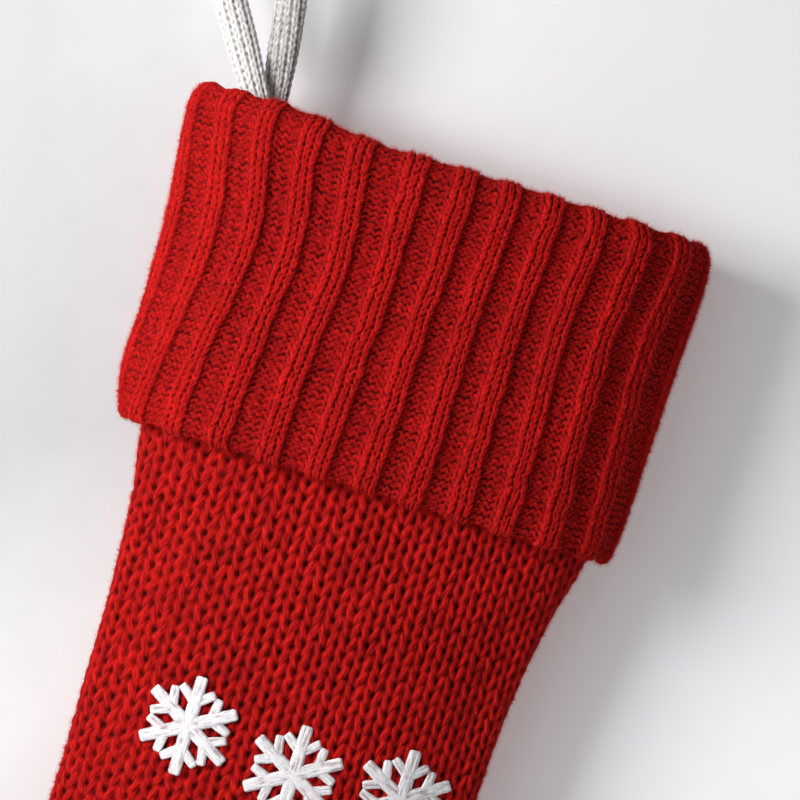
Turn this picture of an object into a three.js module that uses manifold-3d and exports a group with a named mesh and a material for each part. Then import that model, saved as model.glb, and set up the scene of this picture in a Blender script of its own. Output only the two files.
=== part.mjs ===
// Hanging knitted stocking with a folded rib cuff and a sewn cord loop.
// Millimetres, +Z up, +X to the right of a viewer who faces the front, front towards -Y.
// Origin: the point inside the top of the loop that bears on a hook.
import * as THREE from 'three';
import { mergeVertices } from 'three/addons/utils/BufferGeometryUtils.js';
import Module from 'manifold-3d';

const wasm = await Module();
wasm.setup();

// ---------------------------------------------------------------- driving dimensions
const TILT = 17 * Math.PI / 180;      // the stocking hangs from one corner, so it leans in its own plane
const GAP = 0.3;                      // clearance between touching pieces

// cord loop
const CORD_W = 13.0;                  // width of the knitted cord, in the plane of the loop
const CORD_T = 8.4;                   // thickness of the cord, front to back
const LOOP_R = 17.0;                  // centre-line radius round the hook
const LOOP_HALF = 12.4 * Math.PI / 180;   // half angle between the two strands
const LOOP_LEAN = 2.5 * Math.PI / 180;    // lean of the loop's middle line, to the left
const LOOP_TAIL = 8.0;                // cord below the sewn point
const TACK_R = 1.3;                   // thread bundle through the cord ends

// stocking frame: u across the cuff, h down from the cuff's top edge, y front to back
const PIVOT_U = 4.4, PIVOT_H = 13.1;  // sewn point of the loop in that frame

// cuff
const CUFF_EDGES = [[0, -27.0, 180.0], [9, -28.0, 181.2], [35, -26.6, 181.0], [62, -24.2, 179.6], [90, -22.2, 179.0], [113, -23.6, 179.2], [131, -18.5, 176.5]];   // [h, left, right]
const CUFF_H = 131.0;                 // depth of the turned-down layer
const CUFF_DIP = 4.2;                 // the top edge dips by this much towards the right
const CUFF_IN_H = 90.0;               // depth of the inner layer
const CUFF_B = 21.5;                  // half depth, front to back
const CUFF_ROUND = 40.0;              // how far in from its edges the cuff is rounded
const CUFF_T = 2.3;                   // thickness of the turned-down layer
const CUFF_IN_T = 2.0;                // thickness of the inner layer
const FOLD_H = 9.0;                   // height of the rolled fold
const MOUTH_ROUND = 20.0;             // rounding of the mouth's ends

// leg and foot
const LEG_B = 16.0;                   // half depth
const LEG_ROUND = 56.0;               // how far in from its edges the leg is rounded
const LEG_T = 4.4;                    // thickness of the knit
const LEG_TOP = 93.0;                 // top edge of the panels, under the cuff

// lining
const LIN_INSET = 9.1, LIN_B = 9.9, LIN_T = 0.9, LIN_ROUND = 48.0;

// seam round the edge
const SEAM_INSET = 6.7, SEAM_R = 1.1;

// edge points [u, h] of leg and foot: back edge (heel side) and front edge (instep side)
const BACK = [[-10.6, 93], [-9.8, 131], [-5.4, 159], [-2.8, 196], [-2.0, 238], [-1.6, 276], [-4, 325], [-11, 364], [-20.5, 399], [-27, 432], [-24, 462],
  [-7, 486], [32, 497], [80, 502.5], [122, 507], [156, 509], [186, 504.5]];
const FRONT = [[170.4, 93], [169.6, 131], [162.6, 160], [157.5, 196], [155.4, 238], [152.5, 274], [144.5, 312], [139.5, 336], [139.0, 355], [142.5, 369], [149.5, 381],
  [159.5, 391], [171.5, 400.5], [184.5, 410], [197, 422], [206.5, 437], [211.5, 456]];
const TOE_BULGE = 10.0;               // rounding of the toe's end

// ---------------------------------------------------------------- small maths
const lerp = (a, b, t) => a + (b - a) * t;
const clamp = (x, a, b) => Math.max(a, Math.min(b, x));
const smooth = (a, b, x) => { const t = clamp((x - a) / (b - a), 0, 1); return t * t * (3 - 2 * t); };

// pillow profile: half depth at distance d from the edge
const pillow = (d, B, R) => {
  if (d <= 0) return 0;
  const k = 1 - Math.min(d, R) / R;
  return B * Math.sqrt(Math.max(0, 1 - k * k));
};

const curve = (pts) => new THREE.CatmullRomCurve3(pts.map(([u, h]) => new THREE.Vector3(u, h, 0)), false, 'centripetal');
const backCurve = curve(BACK), frontCurve = curve(FRONT);

// point of the panel's plan at s down the leg (0 top, 1 toe) and t across (0 back edge, 1 front edge), drawn in from the edge by "inset"
function plan(s, t, inset = 0) {
  const a = backCurve.getPoint(s), b = frontCurve.getPoint(s);
  const ta = backCurve.getTangent(s), tb = frontCurve.getTangent(s);
  a.x += ta.y * inset; a.y -= ta.x * inset;
  b.x -= tb.y * inset; b.y += tb.x * inset;
  const dx = b.x - a.x, dy = b.y - a.y, n = Math.hypot(dx, dy);
  const out = [-dy / n, dx / n];                    // across the row, towards the toe
  const moved = -((ta.y - tb.y) * out[0] + (tb.x - ta.x) * out[1]) / 2;
  const bulge = (TOE_BULGE - inset * (1 - moved)) * smooth(0.755, 1, s) * (1 - (2 * t - 1) ** 2);
  return [lerp(a.x, b.x, t) + bulge * out[0], lerp(a.y, b.y, t) + bulge * out[1]];
}

// stations down the leg and foot at which every panel and seam has a section
const STOPS = [0, 0.0625, 0.125, 0.1875, 0.25, 0.3125, 0.3875, 0.45, 0.5, 0.545, 0.584, 0.624, 0.663, 0.7025, 0.742, 0.781, 0.825, 0.869, 0.9125, 0.952, 0.9825, 1];

// outline as a polyline, open at the top and carried on upwards
const outline = [];
{
  const N = 90;
  const top = plan(0, 0), top1 = plan(0, 1);
  outline.push([top[0] - 6, top[1] - 150]);
  for (let i = 0; i <= N; i++) outline.push(plan(i / N, 0));
  for (let i = 1; i < 16; i++) outline.push(plan(1, i / 16));
  for (let i = N; i >= 0; i--) outline.push(plan(i / N, 1));
  outline.push([top1[0] + 1, top1[1] - 150]);
}
function edgeDistance(u, h) {
  let best = 1e9;
  for (let i = 1; i < outline.length; i++) {
    const [ax, ay] = outline[i - 1], [bx, by] = outline[i];
    const dx = bx - ax, dy = by - ay;
    const k = clamp(((u - ax) * dx + (h - ay) * dy) / (dx * dx + dy * dy), 0, 1);
    best = Math.min(best, Math.hypot(u - ax - k * dx, h - ay - k * dy));
  }
  return best;
}

// ---------------------------------------------------------------- mesh helpers
function geometry(verts, tris) {
  const g = new THREE.BufferGeometry();
  g.setAttribute('position', new THREE.Float32BufferAttribute(verts.flat(), 3));
  g.setIndex(tris.flat());
  return g;
}
const addMesh = (parent, name, geo, material) => {
  const m = new THREE.Mesh(geo, material);
  m.name = name;
  parent.add(m);
  return m;
};

// closed ring: rings[i][j] is point j of a closed section at station i, stations closed too
function torusGrid(rings, flip = false) {
  const n = rings.length, m = rings[0].length, tris = [];
  for (let i = 0; i < n; i++) for (let j = 0; j < m; j++) {
    const a = i * m + j, b = ((i + 1) % n) * m + j, c = ((i + 1) % n) * m + (j + 1) % m, d = i * m + (j + 1) % m;
    if (flip) tris.push([a, c, b], [a, d, c]); else tris.push([a, b, c], [a, c, d]);
  }
  return geometry(rings.flat(), tris);
}

// closed bar: sections joined along their length, both ends capped by a fan
function barGrid(rings) {
  const n = rings.length, m = rings[0].length, verts = rings.flat(), tris = [];
  for (let i = 0; i < n - 1; i++) for (let j = 0; j < m; j++) {
    const a = i * m + j, b = (i + 1) * m + j, c = (i + 1) * m + (j + 1) % m, d = i * m + (j + 1) % m;
    tris.push([a, c, b], [a, d, c]);
  }
  const mid = (r) => [0, 1, 2].map((k) => r.reduce((s, p) => s + p[k], 0) / r.length);
  const s = verts.length;
  verts.push(mid(rings[0]), mid(rings[n - 1]));
  for (let j = 0; j < m; j++) {
    const k = (j + 1) % m;
    tris.push([s, k, j]);
    tris.push([s + 1, (n - 1) * m + j, (n - 1) * m + k]);
  }
  return geometry(verts, tris);
}

// turns a geometry inside out if its volume is negative
function outward(geo) {
  const p = geo.attributes.position, ix = geo.index.array;
  const a = new THREE.Vector3(), b = new THREE.Vector3(), c = new THREE.Vector3();
  let v = 0;
  for (let i = 0; i < ix.length; i += 3) {
    a.fromBufferAttribute(p, ix[i]); b.fromBufferAttribute(p, ix[i + 1]); c.fromBufferAttribute(p, ix[i + 2]);
    v += a.dot(b.cross(c)) / 6;
  }
  if (v < 0) {
    const out = [];
    for (let i = 0; i < ix.length; i += 3) out.push(ix[i], ix[i + 2], ix[i + 1]);
    geo.setIndex(out);
  }
  return geo;
}

// dished shell over the plan; side -1 is the front, +1 the back
function panel({ side, sStops, cols, inset, B, R, T, rim }) {
  const rows = sStops.length, verts = [], tris = [];
  const tStops = [];
  for (let i = 0; i <= cols; i++) tStops.push((1 - Math.cos(Math.PI * i / cols)) / 2);
  const skin = (extra, b, r) => {
    const base = verts.length;
    for (let j = 0; j < rows; j++) {
      for (let i = 0; i <= cols; i++) {
        const [u, h] = plan(sStops[j], tStops[i], inset + extra);
        const d = edgeDistance(u, h) - inset - extra;
        const onRim = i === 0 || i === cols || j === rows - 1;
        verts.push([u, side * (rim + (onRim ? 0 : pillow(d, b, r))), -h]);
      }
    }
    return base;
  };
  const A = skin(0, B, R), C = skin(T, B - T, R - T);
  const at = (base, j, i) => base + j * (cols + 1) + i;
  const quad = (a, b, c, d, alt) => alt ? tris.push([a, b, d], [b, c, d]) : tris.push([a, b, c], [a, c, d]);
  for (let j = 0; j < rows - 1; j++) for (let i = 0; i < cols; i++) {
    const alt = i >= cols / 2;
    quad(at(A, j, i), at(A, j, i + 1), at(A, j + 1, i + 1), at(A, j + 1, i), !alt);
    // inner skin, other way round
    const a = at(C, j, i), b = at(C, j, i + 1), c = at(C, j + 1, i + 1), d = at(C, j + 1, i);
    if (alt) tris.push([a, c, b], [a, d, c]); else tris.push([a, d, b], [b, d, c]);
  }
  const border = [];
  for (let i = 0; i < cols; i++) border.push([0, i]);
  for (let j = 0; j < rows - 1; j++) border.push([j, cols]);
  for (let i = cols; i > 0; i--) border.push([rows - 1, i]);
  for (let j = rows - 1; j > 0; j--) border.push([j, 0]);
  for (let k = 0; k < border.length; k++) {
    const [j0, i0] = border[k], [j1, i1] = border[(k + 1) % border.length];
    const a = at(A, j0, i0), b = at(A, j1, i1), c = at(C, j1, i1), d = at(C, j0, i0);
    tris.push([b, a, d], [b, d, c]);
  }
  return outward(geometry(verts, tris));
}

// tube of m sides along points; sizes (rx, ry) per point, "across" is the section's first axis
function tube(points, m, size, across) {
  const rings = [];
  const n = points.length;
  for (let i = 0; i < n; i++) {
    const p = points[i], q0 = points[Math.max(0, i - 1)], q1 = points[Math.min(n - 1, i + 1)];
    const t = new THREE.Vector3().subVectors(q1, q0).normalize();
    const y = across(i, t).clone().addScaledVector(t, -across(i, t).dot(t)).normalize();
    const x = new THREE.Vector3().crossVectors(y, t);
    const [rx, ry] = size(i);
    const ring = [];
    for (let j = 0; j < m; j++) {
      const a = 2 * Math.PI * (j + 0.5) / m;
      const v = p.clone().addScaledVector(x, rx * Math.cos(a)).addScaledVector(y, ry * Math.sin(a));
      ring.push([v.x, v.y, v.z]);
    }
    rings.push(ring);
  }
  return rings;
}

// ---------------------------------------------------------------- materials
const knitRed = new THREE.MeshStandardMaterial({ color: 0xa31618, roughness: 0.95, metalness: 0 });
const ribRed = new THREE.MeshStandardMaterial({ color: 0x9c1416, roughness: 0.95, metalness: 0 });
const yarnRed = new THREE.MeshStandardMaterial({ color: 0x7c0f11, roughness: 0.95, metalness: 0 });
const cordWhite = new THREE.MeshStandardMaterial({ color: 0xe6e2df, roughness: 0.9, metalness: 0 });
const threadWhite = new THREE.MeshStandardMaterial({ color: 0xf0ecec, roughness: 0.6, metalness: 0 });
const liningRed = new THREE.MeshStandardMaterial({ color: 0x8a1416, roughness: 0.8, metalness: 0 });
const backingWhite = new THREE.MeshStandardMaterial({ color: 0xdedad4, roughness: 0.9, metalness: 0 });
const labelWhite = new THREE.MeshStandardMaterial({ color: 0xf2f0ea, roughness: 0.7, metalness: 0 });

// ---------------------------------------------------------------- placing
const object = new THREE.Group();
const loopCentre = new THREE.Vector3(0, 0, -(LOOP_R - CORD_W / 2));
const reach = LOOP_R / Math.sin(LOOP_HALF);
const pivot = new THREE.Vector3(loopCentre.x + reach * Math.sin(LOOP_LEAN), 0, loopCentre.z - reach * Math.cos(LOOP_LEAN));

const stocking = new THREE.Group();
stocking.rotation.y = TILT;
stocking.position.set(
  pivot.x - (PIVOT_U * Math.cos(TILT) - PIVOT_H * Math.sin(TILT)), 0,
  pivot.z + (PIVOT_U * Math.sin(TILT) + PIVOT_H * Math.cos(TILT)));
object.add(stocking);

// ---------------------------------------------------------------- leg panels

for (const [side, name] of [[-1, 'leg_front_panel'], [1, 'leg_back_panel']]) {
  addMesh(stocking, name, panel({ side, sStops: STOPS, cols: 14, inset: 0, B: LEG_B - GAP / 2, R: LEG_ROUND, T: LEG_T, rim: GAP / 2 }), knitRed);
}

// ---------------------------------------------------------------- linked seam round the edge, inside the shell
{
  const pts = [];
  const put = (s, t) => {
    const [u, h] = plan(s, t, SEAM_INSET);
    pts.push(new THREE.Vector3(u, 0, -h));
  };
  const short = STOPS.filter((s) => s < 0.99);
  for (const s of short) put(s, 0);
  for (let i = 0; i <= 8; i++) put(1, (1 - Math.cos(Math.PI * i / 8)) / 2);
  for (const s of [...short].reverse()) put(s, 1);
  const Y = new THREE.Vector3(0, 1, 0);
  addMesh(stocking, 'side_seam', outward(barGrid(tube(pts, 6, () => [SEAM_R, SEAM_R], () => Y))), yarnRed);
}

// ---------------------------------------------------------------- cuff: one ring with an inverted U section
// closed path round the stocking; k runs 0..1, front from left to right, then back
const RING = 48;
function around(k, L, Rr, B, R) {
  const front = k < 0.5, x = front ? k * 2 : 2 - k * 2;            // 0 left, 1 right
  const f = (1 - Math.cos(Math.PI * x)) / 2;
  const half = (Rr - L) / 2;
  const edge = 2 * half * f;
  const d = Math.min(edge, 2 * half - edge);
  return [lerp(L, Rr, f), (front ? -1 : 1) * pillow(d, B, R)];
}
{
  // the inner layer is squarer at the mouth, where the cord ends need room, and takes the leg's section lower down
  const inL = (h) => lerp(-19.5, -10.6, smooth(0, 93, h)), inR = (h) => lerp(171.5, 170.4, clamp(h / 93, 0, 1));
  const inRound = (h) => lerp(MOUTH_ROUND, LEG_ROUND, smooth(12, 88, h));
  const edges = (h) => {
    let i = 1;
    while (i < CUFF_EDGES.length - 1 && CUFF_EDGES[i][0] < h) i++;
    const a = CUFF_EDGES[i - 1], b = CUFF_EDGES[i], q = clamp((h - a[0]) / (b[0] - a[0]), 0, 1);
    return [lerp(a[1], b[1], q), lerp(a[2], b[2], q)];
  };
  const dip = (u, h) => CUFF_DIP * smooth(2, 52, u) * (1 - smooth(FOLD_H, 46, h));
  const layer = (i, k, h) => {
    const [L, Rr] = edges(h);
    if (i === 0) return around(k, L, Rr, CUFF_B, CUFF_ROUND);
    if (i === 1) return around(k, L + CUFF_T, Rr - CUFF_T, CUFF_B - CUFF_T, CUFF_ROUND - CUFF_T);
    if (i === 2) return around(k, inL(h), inR(h), LEG_B, inRound(h));
    return around(k, inL(h) + CUFF_IN_T, inR(h) - CUFF_IN_T, LEG_B - CUFF_IN_T, inRound(h) - CUFF_IN_T);
  };
  const rings = [];
  for (let i = 0; i < RING; i++) {
    const k = i / RING, sec = [];
    const put = (layerIndex, h) => { const [u, y] = layer(layerIndex, k, h); sec.push([u, y, -h - dip(u, h)]); };
    for (const h of [CUFF_H, 113, 90, 62, 35, FOLD_H]) put(0, h);
    const o = layer(0, k, FOLD_H), n = layer(3, k, FOLD_H);
    for (let a = 1; a < 6; a++) {
      const phi = Math.PI * a / 6, f = (1 - Math.cos(phi)) / 2;
      const u = lerp(o[0], n[0], f);
      sec.push([u, lerp(o[1], n[1], f), -(FOLD_H - FOLD_H * Math.sin(phi)) - dip(u, 0)]);
    }
    for (const h of [FOLD_H, 46, CUFF_IN_H]) put(3, h);
    for (const h of [CUFF_IN_H, 46, 6]) put(2, h);
    for (const h of [6, 46, 90, 113, CUFF_H]) put(1, h);
    rings.push(sec);
  }
  addMesh(stocking, 'ribbed_cuff', outward(torusGrid(rings)), ribRed);

  // seam between the cuff's inner layer and the top of the leg
  const seam = [];
  const h0 = CUFF_IN_H + GAP, h1 = LEG_TOP - GAP;
  for (let i = 0; i < RING; i++) {
    const k = i / RING;
    const a = around(k, -10.6 + 0.2, 170.4 - 0.2, LEG_B - 0.2, LEG_ROUND), b = around(k, -10.6 + CUFF_IN_T, 170.4 - CUFF_IN_T, LEG_B - CUFF_IN_T, LEG_ROUND - CUFF_IN_T);
    seam.push([[a[0], a[1], -h1], [a[0], a[1], -h0], [b[0], b[1], -h0], [b[0], b[1], -h1]]);
  }
  addMesh(stocking, 'cuff_joint_seam', outward(torusGrid(seam)), yarnRed);
}

// ---------------------------------------------------------------- lining
{
  for (const [side, name] of [[-1, 'lining_front_panel'], [1, 'lining_back_panel']]) {
    addMesh(stocking, name, panel({ side, sStops: STOPS, cols: 8, inset: LIN_INSET, B: LIN_B, R: LIN_ROUND, T: LIN_T, rim: GAP / 2 }), liningRed);
  }
}

// ---------------------------------------------------------------- embroidery: three snowflakes on the front of the leg
function solidOf(geo) {
  const g = geo.index ? geo.clone() : geo.clone();
  for (const n of ['normal', 'uv']) if (g.attributes[n]) g.deleteAttribute(n);
  const m = mergeVertices(g, 1e-4);
  return new wasm.Manifold(new wasm.Mesh({ numProp: 3, vertProperties: new Float32Array(m.attributes.position.array), triVerts: new Uint32Array(m.index.array) }));
}
function geometryOf(solid) {
  const m = solid.getMesh();
  const g = new THREE.BufferGeometry();
  g.setAttribute('position', new THREE.Float32BufferAttribute(Array.from(m.vertProperties), 3));
  g.setIndex(Array.from(m.triVerts));
  return g;
}
const FLAKE_R = 19.5, FLAKE_BAR = 6.0, FLAKE_T = 1.4;
const FLAKES = [['snowflake_left', 42, 236], ['snowflake_centre', 85.5, 242], ['snowflake_right', 127.5, 239.5]];
function snowflake(u0, h0) {
  const bar = (len, w, x, z, angle, n) => {
    const g = new THREE.BoxGeometry(w, FLAKE_T, len, 1, 1, n);
    g.translate(0, 0, len / 2);
    g.rotateY(angle);
    g.translate(x, 0, z);
    return solidOf(g);
  };
  let s = null;
  const join = (b) => { s = s ? s.add(b) : b; };
  for (let i = 0; i < 6; i++) {
    const a = i * Math.PI / 3;
    join(bar(FLAKE_R, FLAKE_BAR, 0, 0, a, 3));
    const bx = Math.sin(a) * 9.6, bz = Math.cos(a) * 9.6;
    for (const k of [-1, 1]) join(bar(8.6, 4.0, bx, bz, a + k * 0.92, 1));
  }
  const g = geometryOf(s), p = g.attributes.position;
  for (let i = 0; i < p.count; i++) {               // laid on the rounded front of the leg
    const u = u0 + p.getX(i), h = h0 - p.getZ(i);
    const lift = p.getY(i) > 0 ? 0 : FLAKE_T;
    p.setXYZ(i, u, -(pillow(edgeDistance(u, h), LEG_B, LEG_ROUND) + 0.5 + lift), -h);
  }
  return g;
}
for (const [name, u, h] of FLAKES) addMesh(stocking, name, outward(snowflake(u, h)), threadWhite);

// stabiliser sheet behind the embroidery, between knit and lining
{
  const U = [], H = [];
  for (let i = 0; i <= 10; i++) U.push(lerp(24, 143, i / 10));
  for (let j = 0; j <= 2; j++) H.push(lerp(215, 264, j / 2));
  const verts = [], tris = [], nu = U.length, nh = H.length;
  for (const back of [0, 0.45]) for (const h of H) for (const u of U) {
    const d = edgeDistance(u, h) - LEG_T;
    verts.push([u, -(pillow(d, LEG_B - LEG_T, LEG_ROUND - LEG_T) - 0.75 - back), -h]);
  }
  const at = (l, j, i) => l * nu * nh + j * nu + i;
  for (let j = 0; j < nh - 1; j++) for (let i = 0; i < nu - 1; i++) {
    tris.push([at(0, j, i), at(0, j + 1, i), at(0, j + 1, i + 1)], [at(0, j, i), at(0, j + 1, i + 1), at(0, j, i + 1)]);
    tris.push([at(1, j, i), at(1, j + 1, i + 1), at(1, j + 1, i)], [at(1, j, i), at(1, j, i + 1), at(1, j + 1, i + 1)]);
  }
  const border = [];
  for (let i = 0; i < nu - 1; i++) border.push([0, i]);
  for (let j = 0; j < nh - 1; j++) border.push([j, nu - 1]);
  for (let i = nu - 1; i > 0; i--) border.push([nh - 1, i]);
  for (let j = nh - 1; j > 0; j--) border.push([j, 0]);
  border.forEach(([j0, i0], n) => {
    const [j1, i1] = border[(n + 1) % border.length];
    tris.push([at(0, j0, i0), at(0, j1, i1), at(1, j1, i1)], [at(0, j0, i0), at(1, j1, i1), at(1, j0, i0)]);
  });
  addMesh(stocking, 'embroidery_backing', outward(geometry(verts, tris)), backingWhite);
}

// ---------------------------------------------------------------- hanging loop
{
  const up = (angle) => new THREE.Vector3(Math.sin(angle), 0, Math.cos(angle));
  const dirL = up(-LOOP_LEAN - LOOP_HALF), dirR = up(-LOOP_LEAN + LOOP_HALF);
  const tangent = Math.sqrt(reach * reach - LOOP_R * LOOP_R);
  const pts = [], ks = [];
  const strand = (dir, k0, k1, n, sign) => {
    for (let i = 0; i <= n; i++) {
      const k = lerp(k0, k1, i / n);
      const p = pivot.clone().addScaledVector(dir, k);
      p.y = sign * 2.35 * (1 - smooth(18, 56, k));
      pts.push(p); ks.push(k);
    }
  };
  strand(dirL, -LOOP_TAIL, tangent, 16, -1);
  const a0 = Math.atan2(pts[pts.length - 1].z - loopCentre.z, pts[pts.length - 1].x - loopCentre.x);
  const b0 = Math.PI - a0 - 2 * LOOP_LEAN * 0;
  const end = pivot.clone().addScaledVector(dirR, tangent);
  const a1 = Math.atan2(end.z - loopCentre.z, end.x - loopCentre.x);
  const sweep = ((a0 - a1) + 4 * Math.PI) % (2 * Math.PI);
  for (let i = 1; i < 16; i++) {
    const a = a0 - sweep * i / 16;
    pts.push(new THREE.Vector3(loopCentre.x + LOOP_R * Math.cos(a), 0, loopCentre.z + LOOP_R * Math.sin(a)));
    ks.push(tangent);
  }
  strand(dirR, tangent, -LOOP_TAIL, 16, 1);
  const Y = new THREE.Vector3(0, 1, 0);
  const size = (i) => {
    const k = ks[i];
    const w = lerp(9.4, CORD_W, smooth(2, 46, k)), t = lerp(4.2, CORD_T, smooth(8, 60, k));
    const e = k < -LOOP_TAIL + 1 ? 0.7 : 1;
    return [w / 2 * e, t / 2 * e];
  };
  const body = solidOf(outward(barGrid(tube(pts, 10, size, () => Y))));
  // the sewn point: a clear passage front to back for the thread bundle
  const hole = new THREE.CylinderGeometry(TACK_R + 0.3, TACK_R + 0.3, 30, 12);
  hole.translate(pivot.x, 0, pivot.z);
  addMesh(object, 'hanging_loop', geometryOf(body.subtract(solidOf(hole))), cordWhite);
}

// ---------------------------------------------------------------- the loop's sewing, in the mouth
{
  const thread = new THREE.CylinderGeometry(TACK_R, TACK_R, 11.6, 10);
  const m = addMesh(object, 'loop_tack_thread', thread, threadWhite);
  m.position.set(pivot.x, 0.5, pivot.z);
  const bar = addMesh(stocking, 'loop_bar_tack', new THREE.BoxGeometry(6, 1.2, 3.0), yarnRed);
  bar.position.set(PIVOT_U + 0.6, 7.5, -PIVOT_H);
}

// ---------------------------------------------------------------- blank label, sewn flat on the back lining under the cuff seam
{
  const m = addMesh(stocking, 'care_label', new THREE.BoxGeometry(28, 0.5, 18), labelWhite);
  m.position.set(78, LIN_B - LIN_T - 0.65, -112);
}

export default object;
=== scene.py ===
import math
import bpy
import numpy as np
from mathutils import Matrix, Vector

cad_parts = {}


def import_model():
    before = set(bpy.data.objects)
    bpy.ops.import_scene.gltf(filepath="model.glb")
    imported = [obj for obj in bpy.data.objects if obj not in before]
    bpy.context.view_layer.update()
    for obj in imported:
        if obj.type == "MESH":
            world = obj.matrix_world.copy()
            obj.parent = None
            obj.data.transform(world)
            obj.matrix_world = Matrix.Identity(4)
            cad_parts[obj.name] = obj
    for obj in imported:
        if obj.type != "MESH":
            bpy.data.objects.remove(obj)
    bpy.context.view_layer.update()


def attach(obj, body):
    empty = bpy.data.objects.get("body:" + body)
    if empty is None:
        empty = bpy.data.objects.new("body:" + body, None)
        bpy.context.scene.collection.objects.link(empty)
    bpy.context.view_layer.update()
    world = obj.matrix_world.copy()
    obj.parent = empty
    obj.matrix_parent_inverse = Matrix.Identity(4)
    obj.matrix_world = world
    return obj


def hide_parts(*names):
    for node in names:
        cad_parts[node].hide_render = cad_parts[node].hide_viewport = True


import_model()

scene = bpy.context.scene

# ------------------------------------------------------------------ dimensions, mm, as in the CAD source
TILT = math.radians(17)
CT, ST = math.cos(TILT), math.sin(TILT)
ORIGIN = (3.0756, -75.7778)
GAP = 0.3
CORD_W, CORD_T, LOOP_R = 13.0, 8.4, 17.0
LOOP_HALF, LOOP_LEAN, LOOP_TAIL = math.radians(12.4), math.radians(2.5), 8.0
PIVOT_U, PIVOT_H = 4.4, 13.1
CUFF_EDGES = np.array([[0, -27.0, 180.0], [9, -28.0, 181.2], [35, -26.6, 181.0], [62, -24.2, 179.6], [90, -22.2, 179.0], [113, -23.6, 179.2], [131, -18.5, 176.5]])
CUFF_H, CUFF_DIP, CUFF_IN_H = 131.0, 4.2, 90.0
CUFF_B, CUFF_ROUND, CUFF_T, CUFF_IN_T, FOLD_H, MOUTH_ROUND = 21.5, 40.0, 2.3, 2.0, 9.0, 20.0
LEG_B, LEG_ROUND, LEG_T, LEG_TOP = 16.0, 56.0, 4.4, 93.0
LIN_INSET, LIN_B, LIN_T, LIN_ROUND = 9.1, 9.9, 0.9, 48.0
SEAM_INSET, TOE_BULGE = 6.7, 10.0
BACK = [[-10.6, 93], [-9.8, 131], [-5.4, 159], [-2.8, 196], [-2.0, 238], [-1.6, 276], [-4, 325], [-11, 364], [-20.5, 399], [-27, 432], [-24, 462],
        [-7, 486], [32, 497], [80, 502.5], [122, 507], [156, 509], [186, 504.5]]
FRONT = [[170.4, 93], [169.6, 131], [162.6, 160], [157.5, 196], [155.4, 238], [152.5, 274], [144.5, 312], [139.5, 336], [139.0, 355], [142.5, 369], [149.5, 381],
         [159.5, 391], [171.5, 400.5], [184.5, 410], [197, 422], [206.5, 437], [211.5, 456]]
FLAKES = [("snowflake_left", 42.0, 236.0), ("snowflake_centre", 85.5, 242.0), ("snowflake_right", 127.5, 239.5)]


def smooth(a, b, x):
    t = np.clip((x - a) / (b - a), 0, 1)
    return t * t * (3 - 2 * t)


def lerp(a, b, t):
    return a + (b - a) * t


def world(u, y, h):
    """stocking frame, mm, to row frame, m"""
    u, y, h = np.broadcast_arrays(np.asarray(u, float), np.asarray(y, float), np.asarray(h, float))
    return np.stack([ORIGIN[0] + u * CT - h * ST, y, ORIGIN[1] - u * ST - h * CT], -1) / 1000.0


class Curve:
    """centripetal Catmull-Rom curve through points, evenly parametrised by point index"""

    def __init__(self, pts):
        p = np.array(pts, float)
        self.n = len(p)
        self.p = np.vstack([2 * p[0] - p[1], p, 2 * p[-1] - p[-2]])

    def __call__(self, s):
        s = np.asarray(s, float)
        q = s * (self.n - 1)
        i = np.clip(np.floor(q).astype(int), 0, self.n - 2)
        w = (q - i)[..., None]
        a, b, c, d = (self.p[i + k] for k in range(4))
        d0, d1, d2 = (np.maximum(np.sum((y - x) ** 2, -1), 1e-9)[..., None] ** 0.25 for x, y in ((a, b), (b, c), (c, d)))
        t1 = ((b - a) / d0 - (c - a) / (d0 + d1) + (c - b) / d1) * d1
        t2 = ((c - b) / d1 - (d - b) / (d1 + d2) + (d - c) / d2) * d1
        return b + t1 * w + (-3 * b + 3 * c - 2 * t1 - t2) * w ** 2 + (2 * b - 2 * c + t1 + t2) * w ** 3

    def tangent(self, s):
        e = 1e-4
        t = self(np.clip(np.asarray(s, float) + e, 0, 1)) - self(np.clip(np.asarray(s, float) - e, 0, 1))
        return t / np.linalg.norm(t, axis=-1, keepdims=True)


back_curve, front_curve = Curve(BACK), Curve(FRONT)


def plan(s, t, inset=0.0):
    s, t = np.broadcast_arrays(np.asarray(s, float), np.asarray(t, float))
    a, b = back_curve(s), front_curve(s)
    moved = 0.0
    if inset:
        ta, tb = back_curve.tangent(s), front_curve.tangent(s)
        a = a + np.stack([ta[..., 1], -ta[..., 0]], -1) * inset
        b = b + np.stack([-tb[..., 1], tb[..., 0]], -1) * inset
    d = b - a
    d = d / np.linalg.norm(d, axis=-1, keepdims=True)
    out = np.stack([-d[..., 1], d[..., 0]], -1)
    if inset:
        moved = -((ta[..., 1] - tb[..., 1]) * out[..., 0] + (tb[..., 0] - ta[..., 0]) * out[..., 1]) / 2
    bulge = (TOE_BULGE - inset * (1 - moved)) * smooth(0.755, 1, s) * (1 - (2 * t - 1) ** 2)
    p = a + (b - a) * t[..., None] + out * bulge[..., None]
    return p[..., 0], p[..., 1]


def outline_points():
    N = 90
    u0, h0 = plan(0, 0)
    u1, h1 = plan(0, 1)
    pts = [[float(u0) - 6, float(h0) - 150]]
    pts += [[float(x) for x in plan(i / N, 0)] for i in range(N + 1)]
    pts += [[float(x) for x in plan(1, i / 16)] for i in range(1, 16)]
    pts += [[float(x) for x in plan(i / N, 1)] for i in range(N, -1, -1)]
    pts.append([float(u1) + 1, float(h1) - 150])
    return np.array(pts)


OUTLINE = outline_points()


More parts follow.
